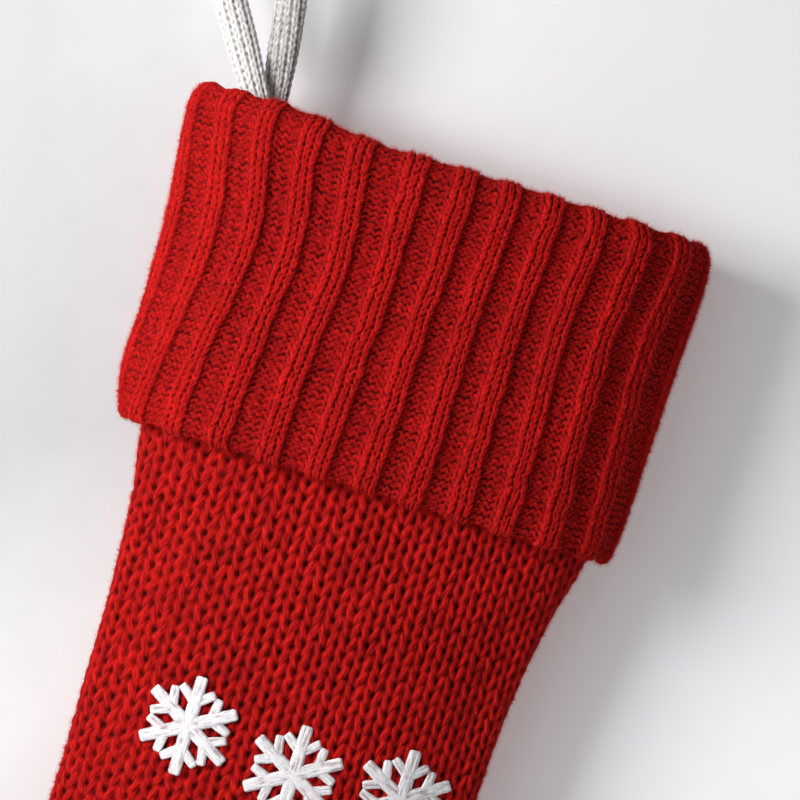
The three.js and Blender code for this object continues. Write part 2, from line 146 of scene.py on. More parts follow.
def edge_distance(u, h):
    best = np.full(np.shape(u), 1e9)
    for (ax, ay), (bx, by) in zip(OUTLINE[:-1], OUTLINE[1:]):
        dx, dy = bx - ax, by - ay
        k = np.clip(((u - ax) * dx + (h - ay) * dy) / (dx * dx + dy * dy), 0, 1)
        np.minimum(best, (u - ax - k * dx) ** 2 + (h - ay - k * dy) ** 2, out=best)
    return np.sqrt(best)


def pillow(d, B, R):
    k = 1 - np.minimum(np.maximum(d, 0), R) / R
    return np.where(d <= 0, 0.0, B * np.sqrt(np.maximum(0, 1 - k * k)))


# ------------------------------------------------------------------ mesh helpers
def raw_mesh(name, V, quads=None, tris=None, attrs=None, smooth_shade=True):
    me = bpy.data.meshes.new(name)
    nq = 0 if quads is None else len(quads)
    nt = 0 if tris is None else len(tris)
    V = np.ascontiguousarray(V, np.float64)
    # turn outward
    T = []
    if nq:
        T += [quads[:, [0, 1, 2]], quads[:, [0, 2, 3]]]
    if nt:
        T.append(tris)
    T = np.vstack(T)
    c = V - V.mean(0)
    vol = np.einsum("ij,ij->i", c[T[:, 0]], np.cross(c[T[:, 1]], c[T[:, 2]])).sum()
    if vol < 0:
        if nq:
            quads = quads[:, ::-1]
        if nt:
            tris = tris[:, ::-1]
    me.vertices.add(len(V))
    me.vertices.foreach_set("co", V.astype(np.float32).ravel())
    loops = []
    starts = []
    k = 0
    if nq:
        loops.append(quads.ravel())
        starts.append(np.arange(nq) * 4)
        k = nq * 4
    if nt:
        loops.append(tris.ravel())
        starts.append(k + np.arange(nt) * 3)
    loops = np.concatenate(loops).astype(np.int32)
    starts = np.concatenate(starts).astype(np.int32)
    me.loops.add(len(loops))
    me.loops.foreach_set("vertex_index", loops)
    me.polygons.add(len(starts))
    me.polygons.foreach_set("loop_start", starts)
    me.update(calc_edges=True)
    if smooth_shade:
        me.polygons.foreach_set("use_smooth", np.ones(len(starts), bool))
    for key, val in (attrs or {}).items():
        val = np.asarray(val, np.float32)
        if val.shape == (len(V), 3):
            a = me.attributes.new(key, "FLOAT_VECTOR", "POINT")
            a.data.foreach_set("vector", val.ravel())
        else:
            a = me.attributes.new(key, "FLOAT", "POINT")
            a.data.foreach_set("value", val.ravel())
    me.validate()
    me.update()
    ob = bpy.data.objects.new(name, me)
    scene.collection.objects.link(ob)
    return ob


def grid_quads(n, m, wrap_i=False, wrap_j=False, base=0):
    I = np.arange(n if wrap_i else n - 1)
    J = np.arange(m if wrap_j else m - 1)
    I, J = np.meshgrid(I, J, indexing="ij")
    I2, J2 = (I + 1) % n, (J + 1) % m
    return (np.stack([I * m + J, I * m + J2, I2 * m + J2, I2 * m + J], -1).reshape(-1, 4) + base).astype(np.int64)


def grid_normals(P, wrap_i=False, wrap_j=False):
    def diff(A, axis, wrap):
        if wrap:
            return np.roll(A, -1, axis) - np.roll(A, 1, axis)
        return np.gradient(A, axis=axis)
    n = np.cross(diff(P, 0, wrap_i), diff(P, 1, wrap_j))
    return n / np.maximum(np.linalg.norm(n, axis=-1, keepdims=True), 1e-12)


def zip_strip(a, b):
    """triangles between two index lines of different counts"""
    tris, i, j = [], 0, 0
    na, nb = len(a) - 1, len(b) - 1
    while i < na or j < nb:
        if j >= nb or (i < na and (i + 1) / na <= (j + 1) / nb):
            tris.append([a[i], a[i + 1], b[j]]); i += 1
        else:
            tris.append([a[i], b[j + 1], b[j]]); j += 1
    return tris


def shell(name, A, B, attrs_a, attrs_b):
    """closed shell from an outer grid A and an inner grid B of another density"""
    na, ma = A.shape[:2]
    nb, mb = B.shape[:2]
    base = na * ma
    V = np.vstack([A.reshape(-1, 3), B.reshape(-1, 3)])
    qa, qb = grid_quads(na, ma), grid_quads(nb, mb, base=base)[:, ::-1]
    ia = np.arange(base).reshape(na, ma)
    ib = (np.arange(nb * mb) + base).reshape(nb, mb)
    tris = []
    tris += [t[::-1] for t in zip_strip(ia[0], ib[0])]
    tris += zip_strip(ia[-1], ib[-1])
    tris += zip_strip(ia[:, 0], ib[:, 0])
    tris += [t[::-1] for t in zip_strip(ia[:, -1], ib[:, -1])]
    attrs = {}
    for k, va in attrs_a.items():
        vb = attrs_b[k]
        va, vb = np.asarray(va), np.asarray(vb)
        attrs[k] = np.vstack([va.reshape(-1, 3), vb.reshape(-1, 3)]) if va.ndim == 3 else np.concatenate([va.ravel(), vb.ravel()])
    return raw_mesh(name, V, np.vstack([qa, qb]), np.array(tris), attrs)


# ------------------------------------------------------------------ knit relief
def rnd(i, j, k=0):
    n = (i.astype(np.int64) * 73856093) ^ (j.astype(np.int64) * 19349663) ^ np.int64(k * 83492791 + 12345)
    n = (n & 0xFFFFFFFF)
    for m, sh in ((2654435761, 15), (2246822519, 13), (3266489917, 16)):
        n = (n * m) & 0xFFFFFFFF
        n = n ^ (n >> sh)
    return n / 4294967296.0


def value_noise(x, y, k=0):
    i, j = np.floor(x), np.floor(y)
    fx, fy = x - i, y - j
    fx, fy = fx * fx * (3 - 2 * fx), fy * fy * (3 - 2 * fy)
    a, b, c, d = rnd(i, j, k), rnd(i + 1, j, k), rnd(i, j + 1, k), rnd(i + 1, j + 1, k)
    return lerp(lerp(a, b, fx), lerp(c, d, fx), fy) * 2 - 1


def stockinette(x, y, W, C, ang=24.0, la=0.86, lb=0.285, off=0.245, jit=1.0, seed=0, wrap=0, low=0.12, blunt=2.0):
    """relief 0..1 of knit stitches: two plump legs each, meeting at the bottom. x across the wales, y down the courses."""
    i0, j0 = np.floor(x / W), np.floor(y / C)
    best = np.zeros(x.shape)
    side = np.zeros(x.shape)
    tone = np.zeros(x.shape)
    th = math.radians(ang)
    for di in (-1, 0, 1):
        for dj in (-1, 0, 1, 2):
            i, j = i0 + di, j0 + dj - 0.0
            ii = np.mod(i, wrap) if wrap else i
            for s in (0, 1):
                sg = 1 if s == 0 else -1
                r1, r2, r3, r4 = (rnd(ii, j, seed * 16 + s * 4 + q) - 0.5 for q in range(4))
                cx = (i + 0.5 - sg * off) * W + r1 * 0.07 * W * jit
                cy = (j + low) * C + r2 * 0.16 * C * jit
                a = th + r3 * 0.16 * jit
                c, sn = np.cos(a), np.sin(a) * sg
                dx, dy = x - cx, y - cy
                al = dx * sn + dy * c
                ac = dx * c - dy * sn
                q = 1 - np.abs(al / (la * C * (1 + r4 * 0.12 * jit))) ** blunt - (ac / (lb * W)) ** 2
                hgt = np.sqrt(np.maximum(q, 0)) * (1 + r4 * 0.16 * jit)
                win = hgt > best
                best = np.where(win, hgt, best)
                side = np.where(win, float(s), side)
                tone = np.where(win, r3 + 0.5, tone)
    return best, side, tone


def purl(x, y, W, C, seed=0, jit=1.0, wrap=0):
    """relief 0..1 of purl stitches: rows of short arched bumps"""
    best = np.zeros(x.shape)
    tone = np.zeros(x.shape)
    for kind in (0, 1):
        sx, sy = (0.5, 0.0) if kind == 0 else (0.0, 0.5)
        i0, j0 = np.floor(x / W - sx + 0.5), np.floor(y / C - sy + 0.5)
        for di in (-1, 0, 1):
            for dj in (-1, 0, 1):
                i, j = i0 + di, j0 + dj
                ii = np.mod(i, wrap) if wrap else i
                r1, r2, r3, r4 = (rnd(ii, j, seed * 16 + kind * 4 + q + 7) - 0.5 for q in range(4))
                cx, cy = (i + sx) * W + r1 * 0.16 * W * jit, (j + sy) * C + r2 * 0.14 * C * jit
                dx, dy = x - cx, y - cy
                arch = 0.16 * C * (dx / (0.5 * W)) ** 2
                dy = dy - arch if kind == 0 else dy + arch
                dy = dy - dx * r3 * 0.3 * jit
                q = 1 - (dx / (0.60 * W)) ** 2 - (dy / (0.31 * C)) ** 2
                hgt = np.sqrt(np.maximum(q, 0)) * (1 + r4 * 0.2 * jit) * (1.0 if kind == 0 else 0.9)
                win = hgt > best
                best = np.where(win, hgt, best)
                tone = np.where(win, r3 + 0.5, tone)
    return best, tone


# ------------------------------------------------------------------ materials
def new_mat(name):
    m = bpy.data.materials.new(name)
    m.use_nodes = True
    nt = m.node_tree
    nt.nodes.clear()
    out = nt.nodes.new("ShaderNodeOutputMaterial")
    b = nt.nodes.new("ShaderNodeBsdfPrincipled")
    nt.links.new(b.outputs[0], out.inputs[0])
    return m, nt, b


def node(nt, kind, inputs=None, **props):
    n = nt.nodes.new(kind)
    for k, v in props.items():
        setattr(n, k, v)
    for k, v in (inputs or {}).items():
        if isinstance(v, bpy.types.NodeSocket):
            nt.links.new(v, n.inputs[k])
        else:
            n.inputs[k].default_value = v
    return n


def math_node(nt, op, a, b=0.0, clamp=False):
    n = nt.nodes.new("ShaderNodeMath")
    n.operation = op
    n.use_clamp = clamp
    for k, v in enumerate((a, b)):
        if isinstance(v, bpy.types.NodeSocket):
            nt.links.new(v, n.inputs[k])
        else:
            n.inputs[k].default_value = v
    return n.outputs[0]


def ramp(nt, fac, stops):
    r = nt.nodes.new("ShaderNodeValToRGB")
    e = r.color_ramp.elements
    while len(e) < len(stops):
        e.new(0.5)
    for k, (pos, col) in enumerate(stops):
        e[k].position = pos
        e[k].color = (*col, 1)
    nt.links.new(fac, r.inputs[0])
    return r.outputs[0]


def attr(nt, name):
    n = nt.nodes.new("ShaderNodeAttribute")
    n.attribute_name = name
    return n


def streaks(nt, vec, angle, along, across, detail=3.0):
    """noise drawn out along a direction in the cloth's own plane; coordinates in mm"""
    mp = node(nt, "ShaderNodeMapping", {"Vector": vec, "Rotation": (0, 0, -angle), "Scale": (1 / across, 1 / along, 3.0)}, vector_type="TEXTURE")
    rot = node(nt, "ShaderNodeTexNoise", {"Vector": mp.outputs[0], "Scale": 1.0, "Detail": detail, "Roughness": 0.6})
    return rot.outputs[0]


def knit_material(name, dark, mid, light, ang_deg, sheen=0.22, sheen_tint=(1.0, 0.12, 0.09), fibre_across=3.2, fibre_along=0.42, hollow_shade_lo=0.06, hollow_shade_hi=0.72, bump=0.5, depth=0.35, rough=0.92, streak=0.62):
    """yarn with fibre streaks that follow the stitch legs, painted shade that darkens the holes and gaps between
    stitches, and slight colour changes from stitch to stitch
    """
    m, nt, b = new_mat(name)
    kn = attr(nt, "knit").outputs["Vector"]
    hollow_shade_and_tone, side, tone = attr(nt, "hollow_shade_and_tone").outputs["Fac"], attr(nt, "side").outputs["Fac"], attr(nt, "tone").outputs["Fac"]
    th = math.radians(ang_deg)
    sa = streaks(nt, kn, th, fibre_along, fibre_across)
    sb = streaks(nt, kn, -th, fibre_along, fibre_across)
    mix = node(nt, "ShaderNodeMix", {0: side, 2: sa, 3: sb}, data_type="FLOAT").outputs[0]
    big = node(nt, "ShaderNodeTexNoise", {"Vector": kn, "Scale": 0.035, "Detail": 2.0}).outputs[0]
    # painted shade: the colour darkens where the stitch relief is low, in the holes and gaps between stitches
    c = math_node(nt, "MULTIPLY", math_node(nt, "SUBTRACT", hollow_shade_and_tone, hollow_shade_lo), 1 / (hollow_shade_hi - hollow_shade_lo), clamp=True)
    f = math_node(nt, "ADD", math_node(nt, "MULTIPLY", math_node(nt, "SUBTRACT", mix, 0.5), 2.3), math_node(nt, "MULTIPLY", math_node(nt, "SUBTRACT", tone, 0.5), 0.22))
    f = math_node(nt, "ADD", f, math_node(nt, "MULTIPLY", math_node(nt, "SUBTRACT", big, 0.5), 0.35))
    f = math_node(nt, "ADD", math_node(nt, "MULTIPLY", c, 0.62), math_node(nt, "MULTIPLY", f, streak), clamp=True)
    col = ramp(nt, f, [(0.0, dark), (0.55, mid), (1.0, light)])
    nt.links.new(col, b.inputs["Base Color"])
    b.inputs["Roughness"].default_value = rough
    b.inputs["Specular IOR Level"].default_value = 0.10
    b.inputs["Sheen Weight"].default_value = sheen
    b.inputs["Sheen Roughness"].default_value = 0.45
    b.inputs["Sheen Tint"].default_value = (*sheen_tint, 1)
    bm = node(nt, "ShaderNodeBump", {"Height": mix, "Strength": bump, "Distance": depth / 1000})
    nt.links.new(bm.outputs[0], b.inputs["Normal"])
    return m


def cloth_material(name, base, lightc, scale, bump=0.4, rough=0.85, sheen=0.2, kind="plain"):
    """woven cloth from two crossed waves in the piece's own coordinates, with slub noise"""
    m, nt, b = new_mat(name)
    tc = nt.nodes.new("ShaderNodeTexCoord")
    mp = node(nt, "ShaderNodeMapping", {"Vector": tc.outputs["Object"], "Rotation": (0, -TILT, 0), "Scale": (1000, 1000, 1000)})
    wx = node(nt, "ShaderNodeTexWave", {"Vector": mp.outputs[0], "Scale": scale, "Distortion": 1.2, "Detail": 1.0}, wave_type="BANDS", bands_direction="X").outputs[1]
    wz = node(nt, "ShaderNodeTexWave", {"Vector": mp.outputs[0], "Scale": scale, "Distortion": 1.2, "Detail": 1.0}, wave_type="BANDS", bands_direction="Z").outputs[1]
    n = node(nt, "ShaderNodeTexNoise", {"Vector": mp.outputs[0], "Scale": 0.35, "Detail": 5.0}).outputs[0]
    w = math_node(nt, "MULTIPLY", wx, wz) if kind == "plain" else math_node(nt, "MAXIMUM", wx, wz)
    f = math_node(nt, "ADD", math_node(nt, "MULTIPLY", w, 0.6), math_node(nt, "MULTIPLY", n, 0.5), clamp=True)
    nt.links.new(ramp(nt, f, [(0.0, base), (1.0, lightc)]), b.inputs["Base Color"])
    b.inputs["Roughness"].default_value = rough
    b.inputs["Sheen Weight"].default_value = sheen
    b.inputs["Specular IOR Level"].default_value = 0.25
    bm = node(nt, "ShaderNodeBump", {"Height": w, "Strength": bump, "Distance": 0.00015})
    nt.links.new(bm.outputs[0], b.inputs["Normal"])
    return m


def plain_fibre(name, col, rough=0.9):
    m, nt, b = new_mat(name)
    b.inputs["Base Color"].default_value = (*col, 1)
    b.inputs["Roughness"].default_value = rough
    b.inputs["Specular IOR Level"].default_value = 0.05
    return m


# dark, middle and light reds of one yarn: the dark end is mostly painted shade in the stitch holes, and the rest comes
# from fibre streaks
RED_DARK, RED_MID, RED_LIGHT = (0.042, 0.0007, 0.0008), (0.330, 0.0035, 0.0032), (0.70, 0.013, 0.0095)
mat_leg = knit_material("chunky_knit_yarn", RED_DARK, RED_MID, RED_LIGHT, 21, fibre_across=1.45, fibre_along=0.26, bump=0.8, depth=1.1, hollow_shade_lo=0.10, hollow_shade_hi=0.80)
mat_cuff = knit_material("rib_knit_yarn", (0.075, 0.0011, 0.0012), (0.325, 0.0036, 0.0034), (0.66, 0.013, 0.009), 20, fibre_across=1.9, fibre_along=0.5, bump=0.6, depth=0.6, hollow_shade_lo=0.0, hollow_shade_hi=0.8)
mat_cord = knit_material("cord_yarn", (0.15, 0.137, 0.132), (0.62, 0.60, 0.585), (0.78, 0.76, 0.745), 24, sheen=0.22, sheen_tint=(1, 1, 1), fibre_across=1.9, fibre_along=0.5, bump=0.5, depth=0.5, hollow_shade_lo=0.0, hollow_shade_hi=0.8)
mat_thread = knit_material("embroidery_rayon", (0.40, 0.30, 0.31), (0.74, 0.725, 0.735), (0.86, 0.85, 0.86), 0, sheen=0.1, sheen_tint=(1, 1, 1), fibre_across=2.0, fibre_along=0.22, bump=0.5, depth=0.25, hollow_shade_lo=0.0, hollow_shade_hi=0.8, rough=0.6, streak=0.8)
mat_seam = knit_material("linking_yarn", (0.04, 0.001, 0.0012), (0.27, 0.006, 0.006), (0.48, 0.016, 0.013), 0, fibre_across=3.0, fibre_along=0.6, bump=0.4, depth=0.3)
mat_lining = cloth_material("lining_weave", (0.16, 0.004, 0.005), (0.42, 0.016, 0.017), 1.15)
mat_felt = cloth_material("stabiliser_felt", (0.52, 0.50, 0.47), (0.80, 0.78, 0.75), 0.8, bump=0.2, rough=0.95, kind="felt")
mat_label = cloth_material("label_tape_weave", (0.66, 0.64, 0.60), (0.90, 0.88, 0.84), 1.9, bump=0.5, rough=0.6)
mat_fuzz = plain_fibre("loose_red_fibre", (0.55, 0.012, 0.010))
mat_fuzz_w = plain_fibre("loose_white_fibre", (0.85, 0.83, 0.82))


def finish_piece(ob, mat, body, slot, *nodes):
    ob.data.materials.clear()
    ob.data.materials.append(mat)
    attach(ob, body)
    if nodes:
        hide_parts(*nodes)
    return ob


# ------------------------------------------------------------------ camera
W_VIEW, DIST, PLANE = 0.3024, 1.0, -0.020
cam_data = bpy.data.cameras.new("camera")
cam_data.sensor_width = 36.0
cam_data.lens = 36.0 * DIST / W_VIEW
cam_data.clip_start, cam_data.clip_end = 0.05, 20
cam = bpy.data.objects.new("camera", cam_data)
cam.location = (0.0545, PLANE - DIST, -0.1904)
cam.rotation_euler = (math.radians(90), 0, 0)
scene.collection.objects.link(cam)
scene.camera = cam

# ------------------------------------------------------------------ cord loop
loop_centre = np.array([0.0, 0.0, -(LOOP_R - CORD_W / 2)])
reach = LOOP_R / math.sin(LOOP_HALF)
pivot = loop_centre + reach * np.array([math.sin(LOOP_LEAN), 0, -math.cos(LOOP_LEAN)])


def updir(a):
    return np.array([math.sin(a), 0, math.cos(a)])


def loop_path(step=0.5):
    tangent = math.sqrt(reach * reach - LOOP_R * LOOP_R)
    dl, dr = updir(-LOOP_LEAN - LOOP_HALF), updir(-LOOP_LEAN + LOOP_HALF)
    P, K = [], []
    n = int(round((tangent + LOOP_TAIL) / step))
    for k in np.linspace(-LOOP_TAIL, tangent, n + 1):
        p = pivot + dl * k
        p[1] = -2.35 * (1 - float(smooth(18, 56, k)))
        P.append(p); K.append(k)
    a0 = math.atan2(P[-1][2] - loop_centre[2], P[-1][0] - loop_centre[0])
    end = pivot + dr * tangent
    a1 = math.atan2(end[2] - loop_centre[2], end[0] - loop_centre[0])
    sweep = ((a0 - a1) + 4 * math.pi) % (2 * math.pi)
    m = int(round(sweep * LOOP_R / step))
    for i in range(1, m):
        a = a0 - sweep * i / m
        P.append(np.array([loop_centre[0] + LOOP_R * math.cos(a), 0, loop_centre[2] + LOOP_R * math.sin(a)]))
        K.append(tangent)
    for k in np.linspace(tangent, -LOOP_TAIL, n + 1):
        p = pivot + dr * k
        p[1] = 2.35 * (1 - float(smooth(18, 56, k)))
        P.append(p); K.append(k)
    return np.array(P), np.array(K)


def knit_tube(name, P, size, wales, pitch, cols, amp, mat_seed=3, round_end=2.0, twist=None, painted_shade=None):
    """knitted tube along P (mm), size(i) -> half width, half thickness arrays"""
    T = np.gradient(P, axis=0)
    T /= np.linalg.norm(T, axis=1, keepdims=True)
    seg = np.linalg.norm(np.diff(P, axis=0), axis=1)
    L = np.concatenate([[0], np.cumsum(seg)])
    Y = np.array([0, 1.0, 0]) - T * T[:, 1:2]
    Y /= np.linalg.norm(Y, axis=1, keepdims=True)
    X = np.cross(Y, T)
    if twist is not None:
        ct, st = np.cos(twist)[:, None], np.sin(twist)[:, None]
        X, Y = X * ct + Y * st, Y * ct - X * st
    rx, ry = size
    end = np.minimum(L, L[-1] - L)
    cap = np.sqrt(np.clip(1 - (1 - np.clip(end / round_end, 0, 1)) ** 2, 0.02, 1))
    rx, ry = rx * cap, ry * cap
    ph = np.linspace(0, 2 * np.pi, 721)[:-1]
    rxm, rym = np.median(rx), np.median(ry)
    dl = np.hypot(np.roll(rxm * np.cos(ph), -1) - rxm * np.cos(ph), np.roll(rym * np.sin(ph), -1) - rym * np.sin(ph))
    cum = np.concatenate([[0], np.cumsum(dl)])
    a = np.interp(np.arange(cols) / cols * cum[-1], cum, np.linspace(0, 2 * np.pi, 721))
    wal = np.arange(cols) / cols * wales
    ww = cum[-1] / wales
    base = P[:, None] + X[:, None] * (rx[:, None] * np.cos(a))[..., None] + Y[:, None] * (ry[:, None] * np.sin(a))[..., None]
    xx = np.broadcast_to(wal * ww, base.shape[:2])
    yy = np.broadcast_to(L[:, None], base.shape[:2])
    H, side, tone = stockinette(xx, yy, ww, pitch, ang=17, la=0.95, lb=0.27, off=0.20, jit=0.8, seed=mat_seed, wrap=wales)
    gap = np.abs(np.mod(xx / ww, 1.0) - 0.5) * 2
    bx, by = (np.mod(xx / ww + 0.5, 1.0) - 0.5) * ww, (np.mod(yy / pitch - 0.1, 1.0) - 0.5) * pitch
    pin = np.exp(-(bx / 0.62) ** 2 - (by / 0.85) ** 2) * (0.6 + 0.4 * rnd(np.round(xx / ww), np.round(yy / pitch - 0.6), 71))
    H = np.maximum(H, 0.70) * (1 - 0.85 * pin)
    H = H + 0.08 * value_noise(xx * 1.1, yy * 0.8, 72)
    N = X[:, None] * (np.cos(a) / np.maximum(rx[:, None], 0.3))[..., None] + Y[:, None] * (np.sin(a) / np.maximum(ry[:, None], 0.3))[..., None]
    N /= np.linalg.norm(N, axis=-1, keepdims=True)
    fade = np.clip(end / (round_end * 1.2), 0.1, 1)[:, None]
    V = base + N * ((H - 0.72) * amp * fade)[..., None]
    n, m = V.shape[:2]
    quads = grid_quads(n, m, wrap_j=True)
    verts = V.reshape(-1, 3)
    c0, c1 = V[0].mean(0), V[-1].mean(0)
    verts = np.vstack([verts, c0, c1])
    j = np.arange(m)
    tris = np.vstack([np.stack([np.full(m, n * m), (j + 1) % m, j], -1), np.stack([np.full(m, n * m + 1), (n - 1) * m + j, (n - 1) * m + (j + 1) % m], -1)])
    # caps have to turn the same way as the sides
    q = quads[0]
    side_n = np.cross(verts[q[1]] - verts[q[0]], verts[q[2]] - verts[q[0]])
    if np.dot(side_n, verts[q[0]] - P[0]) < 0:
        quads = quads[:, ::-1]
    t = tris[0]
    if np.dot(np.cross(verts[t[1]] - verts[t[0]], verts[t[2]] - verts[t[0]]), P[0] - P[1]) < 0:
        tris = tris[:, ::-1]
    kn = np.stack([xx, yy, np.zeros_like(xx)], -1).reshape(-1, 3)
    # painted shade: the stitch relief, with its pin holes, darkens the colour where it is low, and the per-row factor
    # darkens whole rows further
    if painted_shade is not None:
        H = H * painted_shade[:, None]
    add = lambda v: np.concatenate([v.ravel(), [0.5, 0.5]])
    ob = raw_mesh(name, verts / 1000.0, quads, tris, {"knit": np.vstack([kn, [0, 0, 0], [0, 0, 0]]), "hollow_shade_and_tone": add(H), "side": add(side), "tone": add(tone)})
    return ob, L


lp, lk = loop_path(0.44)
w_ = lerp(9.4, CORD_W, smooth(2, 46, lk)) / 2
t_ = lerp(4.2, CORD_T, smooth(8, 60, lk)) / 2
half_ = len(lk) // 2
turn_ = np.concatenate([0.10 * smooth(34, 66, lk[:half_]), 0.62 * smooth(26, 62, lk[half_:])])
soft_ = np.hanning(161); soft_ /= soft_.sum()
turn_ = np.convolve(np.pad(turn_, 80, mode="edge"), soft_, mode="valid")
# painted shade: the right strand's colour is drawn darker, fading out toward the top of the loop, as if it lay in shade
right_strand_painted_shade = 1 - 0.52 * np.concatenate([np.zeros(half_), 1 - smooth(52, 66, lk[half_:])])
loop_ob, loop_len = knit_tube("cord_loop_knit", lp, (w_ - 0.2, t_ - 0.15), 9, 3.0, 120, 1.15, twist=turn_, painted_shade=right_strand_painted_shade)
finish_piece(loop_ob, mat_cord, "loop", "cord_knit", "hanging_loop")


# ------------------------------------------------------------------ leg panels
def rows_by_length(step_seen, step_rest, seen_h):
    s = np.linspace(0, 1, 2001)
    u, h = plan(s, np.full_like(s, 0.5))
    d = np.hypot(np.diff(u), np.diff(h))
    step = np.where(h[:-1] < seen_h, step_seen, step_rest)
    step = np.where(h[:-1] < 122, step_rest * 1.5, step)
    cum = np.concatenate([[0], np.cumsum(d / step)])
    n = int(round(cum[-1]))
    return np.interp(np.linspace(0, cum[-1], n + 1), cum, s)


def cols_by_length(width, B, R, step):
    x = np.linspace(0, 1, 4001)
    f = (1 - np.cos(np.pi * x)) / 2
    e = width * f
    y = pillow(np.minimum(e, width - e), B, R)
    cum = np.concatenate([[0], np.cumsum(np.hypot(np.diff(e), np.diff(y)))])
    n = int(round(cum[-1] / step))
    return np.interp(np.linspace(0, cum[-1], n + 1), cum, f), cum[-1]


WALE, COURSE = 8.15, 5.8


def leg_swell(t, h, d):
    """the filled front is a little rounder across than the panel's even section"""
    return (3.0 - 6.6 * (2 * t - 1) ** 2) * smooth(134, 172, h) * (1 - smooth(430, 490, h)) * smooth(0, 16, d)


def leg_panel(name, side, step_seen, step_rest, col_step, seed):
    s = rows_by_length(step_seen, step_rest, 305)
    t, _ = cols_by_length(165.0, LEG_B, LEG_ROUND, col_step)
    S, Tt = np.meshgrid(s, t, indexing="ij")
    u, h = plan(S, Tt)
    d = edge_distance(u, h)
    d[:, 0] = 0; d[:, -1] = 0
    toe = smooth(0.97, 1.0, S)
    y = GAP / 2 + pillow(d, LEG_B - GAP / 2, LEG_ROUND)
    y[-1] = GAP / 2
    # stitches: wales run down the cloth, courses across; arc length at the edges keeps the stitches their size there
    arc = np.cumsum(np.concatenate([np.zeros((len(s), 1)), np.hypot(np.hypot(np.diff(u, axis=1), np.diff(y, axis=1)), np.diff(h, axis=1))], axis=1), axis=1)
    mid = np.array([np.interp(0.5, t, arc[i]) for i in range(len(s))])[:, None]
    umid = np.array([np.interp(0.5, t, u[i]) for i in range(len(s))])[:, None]
    turn = smooth(330, 420, h)                                     # below the ankle the plain plan coordinates serve
    x = lerp(arc - mid + umid, u, turn)
    x = x + 0.55 * value_noise(u / 38.0, h / 70.0, 5 + seed) + 0.22 * value_noise(u / 9.0, h / 15.0, 9 + seed)
    # wales a little tighter to the right, as knitted
    yy = h + 0.7 * value_noise(u / 42.0, h / 46.0, 6 + seed) + 0.016 * (u - 75)
    if side < 0:
        x = x + 0.00125 * np.maximum(0, x - 60) ** 2 * (1 - turn)
    xs = x + 2.0
    H, sd, tone = stockinette(xs, yy, WALE, COURSE, ang=18.5, la=0.86, lb=0.25, off=0.258, jit=1.0, seed=seed, low=0.45, blunt=2.0)
    # the open middle of each stitch, and the smaller gap between two wales
    i_, j_ = np.floor(xs / WALE), np.floor(yy / COURSE - 0.32 + 0.5)
    jx = (rnd(i_, j_, seed + 300) - 0.5) * 0.5
    hole = (0.75 + 0.5 * rnd(i_, j_, seed + 301)) * np.exp(-((xs - (i_ + 0.5) * WALE + jx) / 0.92) ** 2 - ((yy - (j_ + 0.32) * COURSE) / 1.15) ** 2)
    i2, j2 = np.floor(xs / WALE + 0.5), np.floor(yy / COURSE - 0.78 + 0.5)
    hole2 = (0.3 + 0.6 * rnd(i2, j2, seed + 302)) * np.exp(-((xs - i2 * WALE) / 0.85) ** 2 - ((yy - (j2 + 0.78) * COURSE) / 1.3) ** 2)
    hole = np.clip(hole + hole2, 0, 1)
    hair = np.zeros_like(xs)                                       # strands of the loosely spun yarn
    for sg_, pick_ in ((1, sd < 0.5), (-1, sd >= 0.5)):
        ca_, sa_ = math.cos(math.radians(20)), math.sin(math.radians(20)) * sg_
        v_ = value_noise((xs * ca_ - yy * sa_) * 1.25, (xs * sa_ + yy * ca_) * 0.26, 61 + seed)
        hair = np.where(pick_, v_, hair)
    H = np.maximum(H, 0.54) * (1 - 0.85 * hole) + 0.11 * hair
    if side < 0:
        y = np.maximum(y + leg_swell(Tt, h, d), GAP / 2)
        y[-1] = GAP / 2
    P = np.stack([u, side * y, h], -1)
    N = grid_normals(P)
    flip = np.sign(np.mean(N[..., 1]) * side)
    N = N * flip
    fade = np.minimum(1, 0.5 + d / 6.0)
    big = 0.5 * value_noise(u / 45.0, h / 60.0, 31 + seed)
    disp = ((H - 0.74) * 2.15 + big) * fade
    V = P + N * disp[..., None]
    V[:, :, 1] = np.where(side * V[:, :, 1] < GAP / 2, side * GAP / 2, V[:, :, 1])
    A = world(V[..., 0], V[..., 1], V[..., 2])
    # plain inner face
    s2 = np.interp(np.linspace(0, 1, 60), np.linspace(0, 1, len(s)), s)
    t2 = (1 - np.cos(np.pi * np.linspace(0, 1, 25))) / 2
    S2, T2 = np.meshgrid(s2, t2, indexing="ij")
    u2, h2 = plan(S2, T2, LEG_T)
    d2 = edge_distance(u2, h2) - LEG_T
    d2[:, 0] = 0; d2[:, -1] = 0
    y2 = GAP / 2 + pillow(d2, LEG_B - GAP / 2 - LEG_T, LEG_ROUND - LEG_T)
    y2[-1] = GAP / 2
    B = world(u2, side * y2, h2)
    z2 = np.zeros_like(u2)
    # the relief, with its stitch holes and wale gaps, also goes to the material as painted shade: lower relief is drawn
    # darker
    at_a = {"knit": np.stack([x, yy, np.zeros_like(x)], -1), "hollow_shade_and_tone": H, "side": sd, "tone": tone}
    at_b = {"knit": np.stack([u2, h2, z2], -1), "hollow_shade_and_tone": z2 + 0.5, "side": z2, "tone": z2 + 0.5}
    ob = shell(name, A, B, at_a, at_b)
    return ob, (A, N, side)


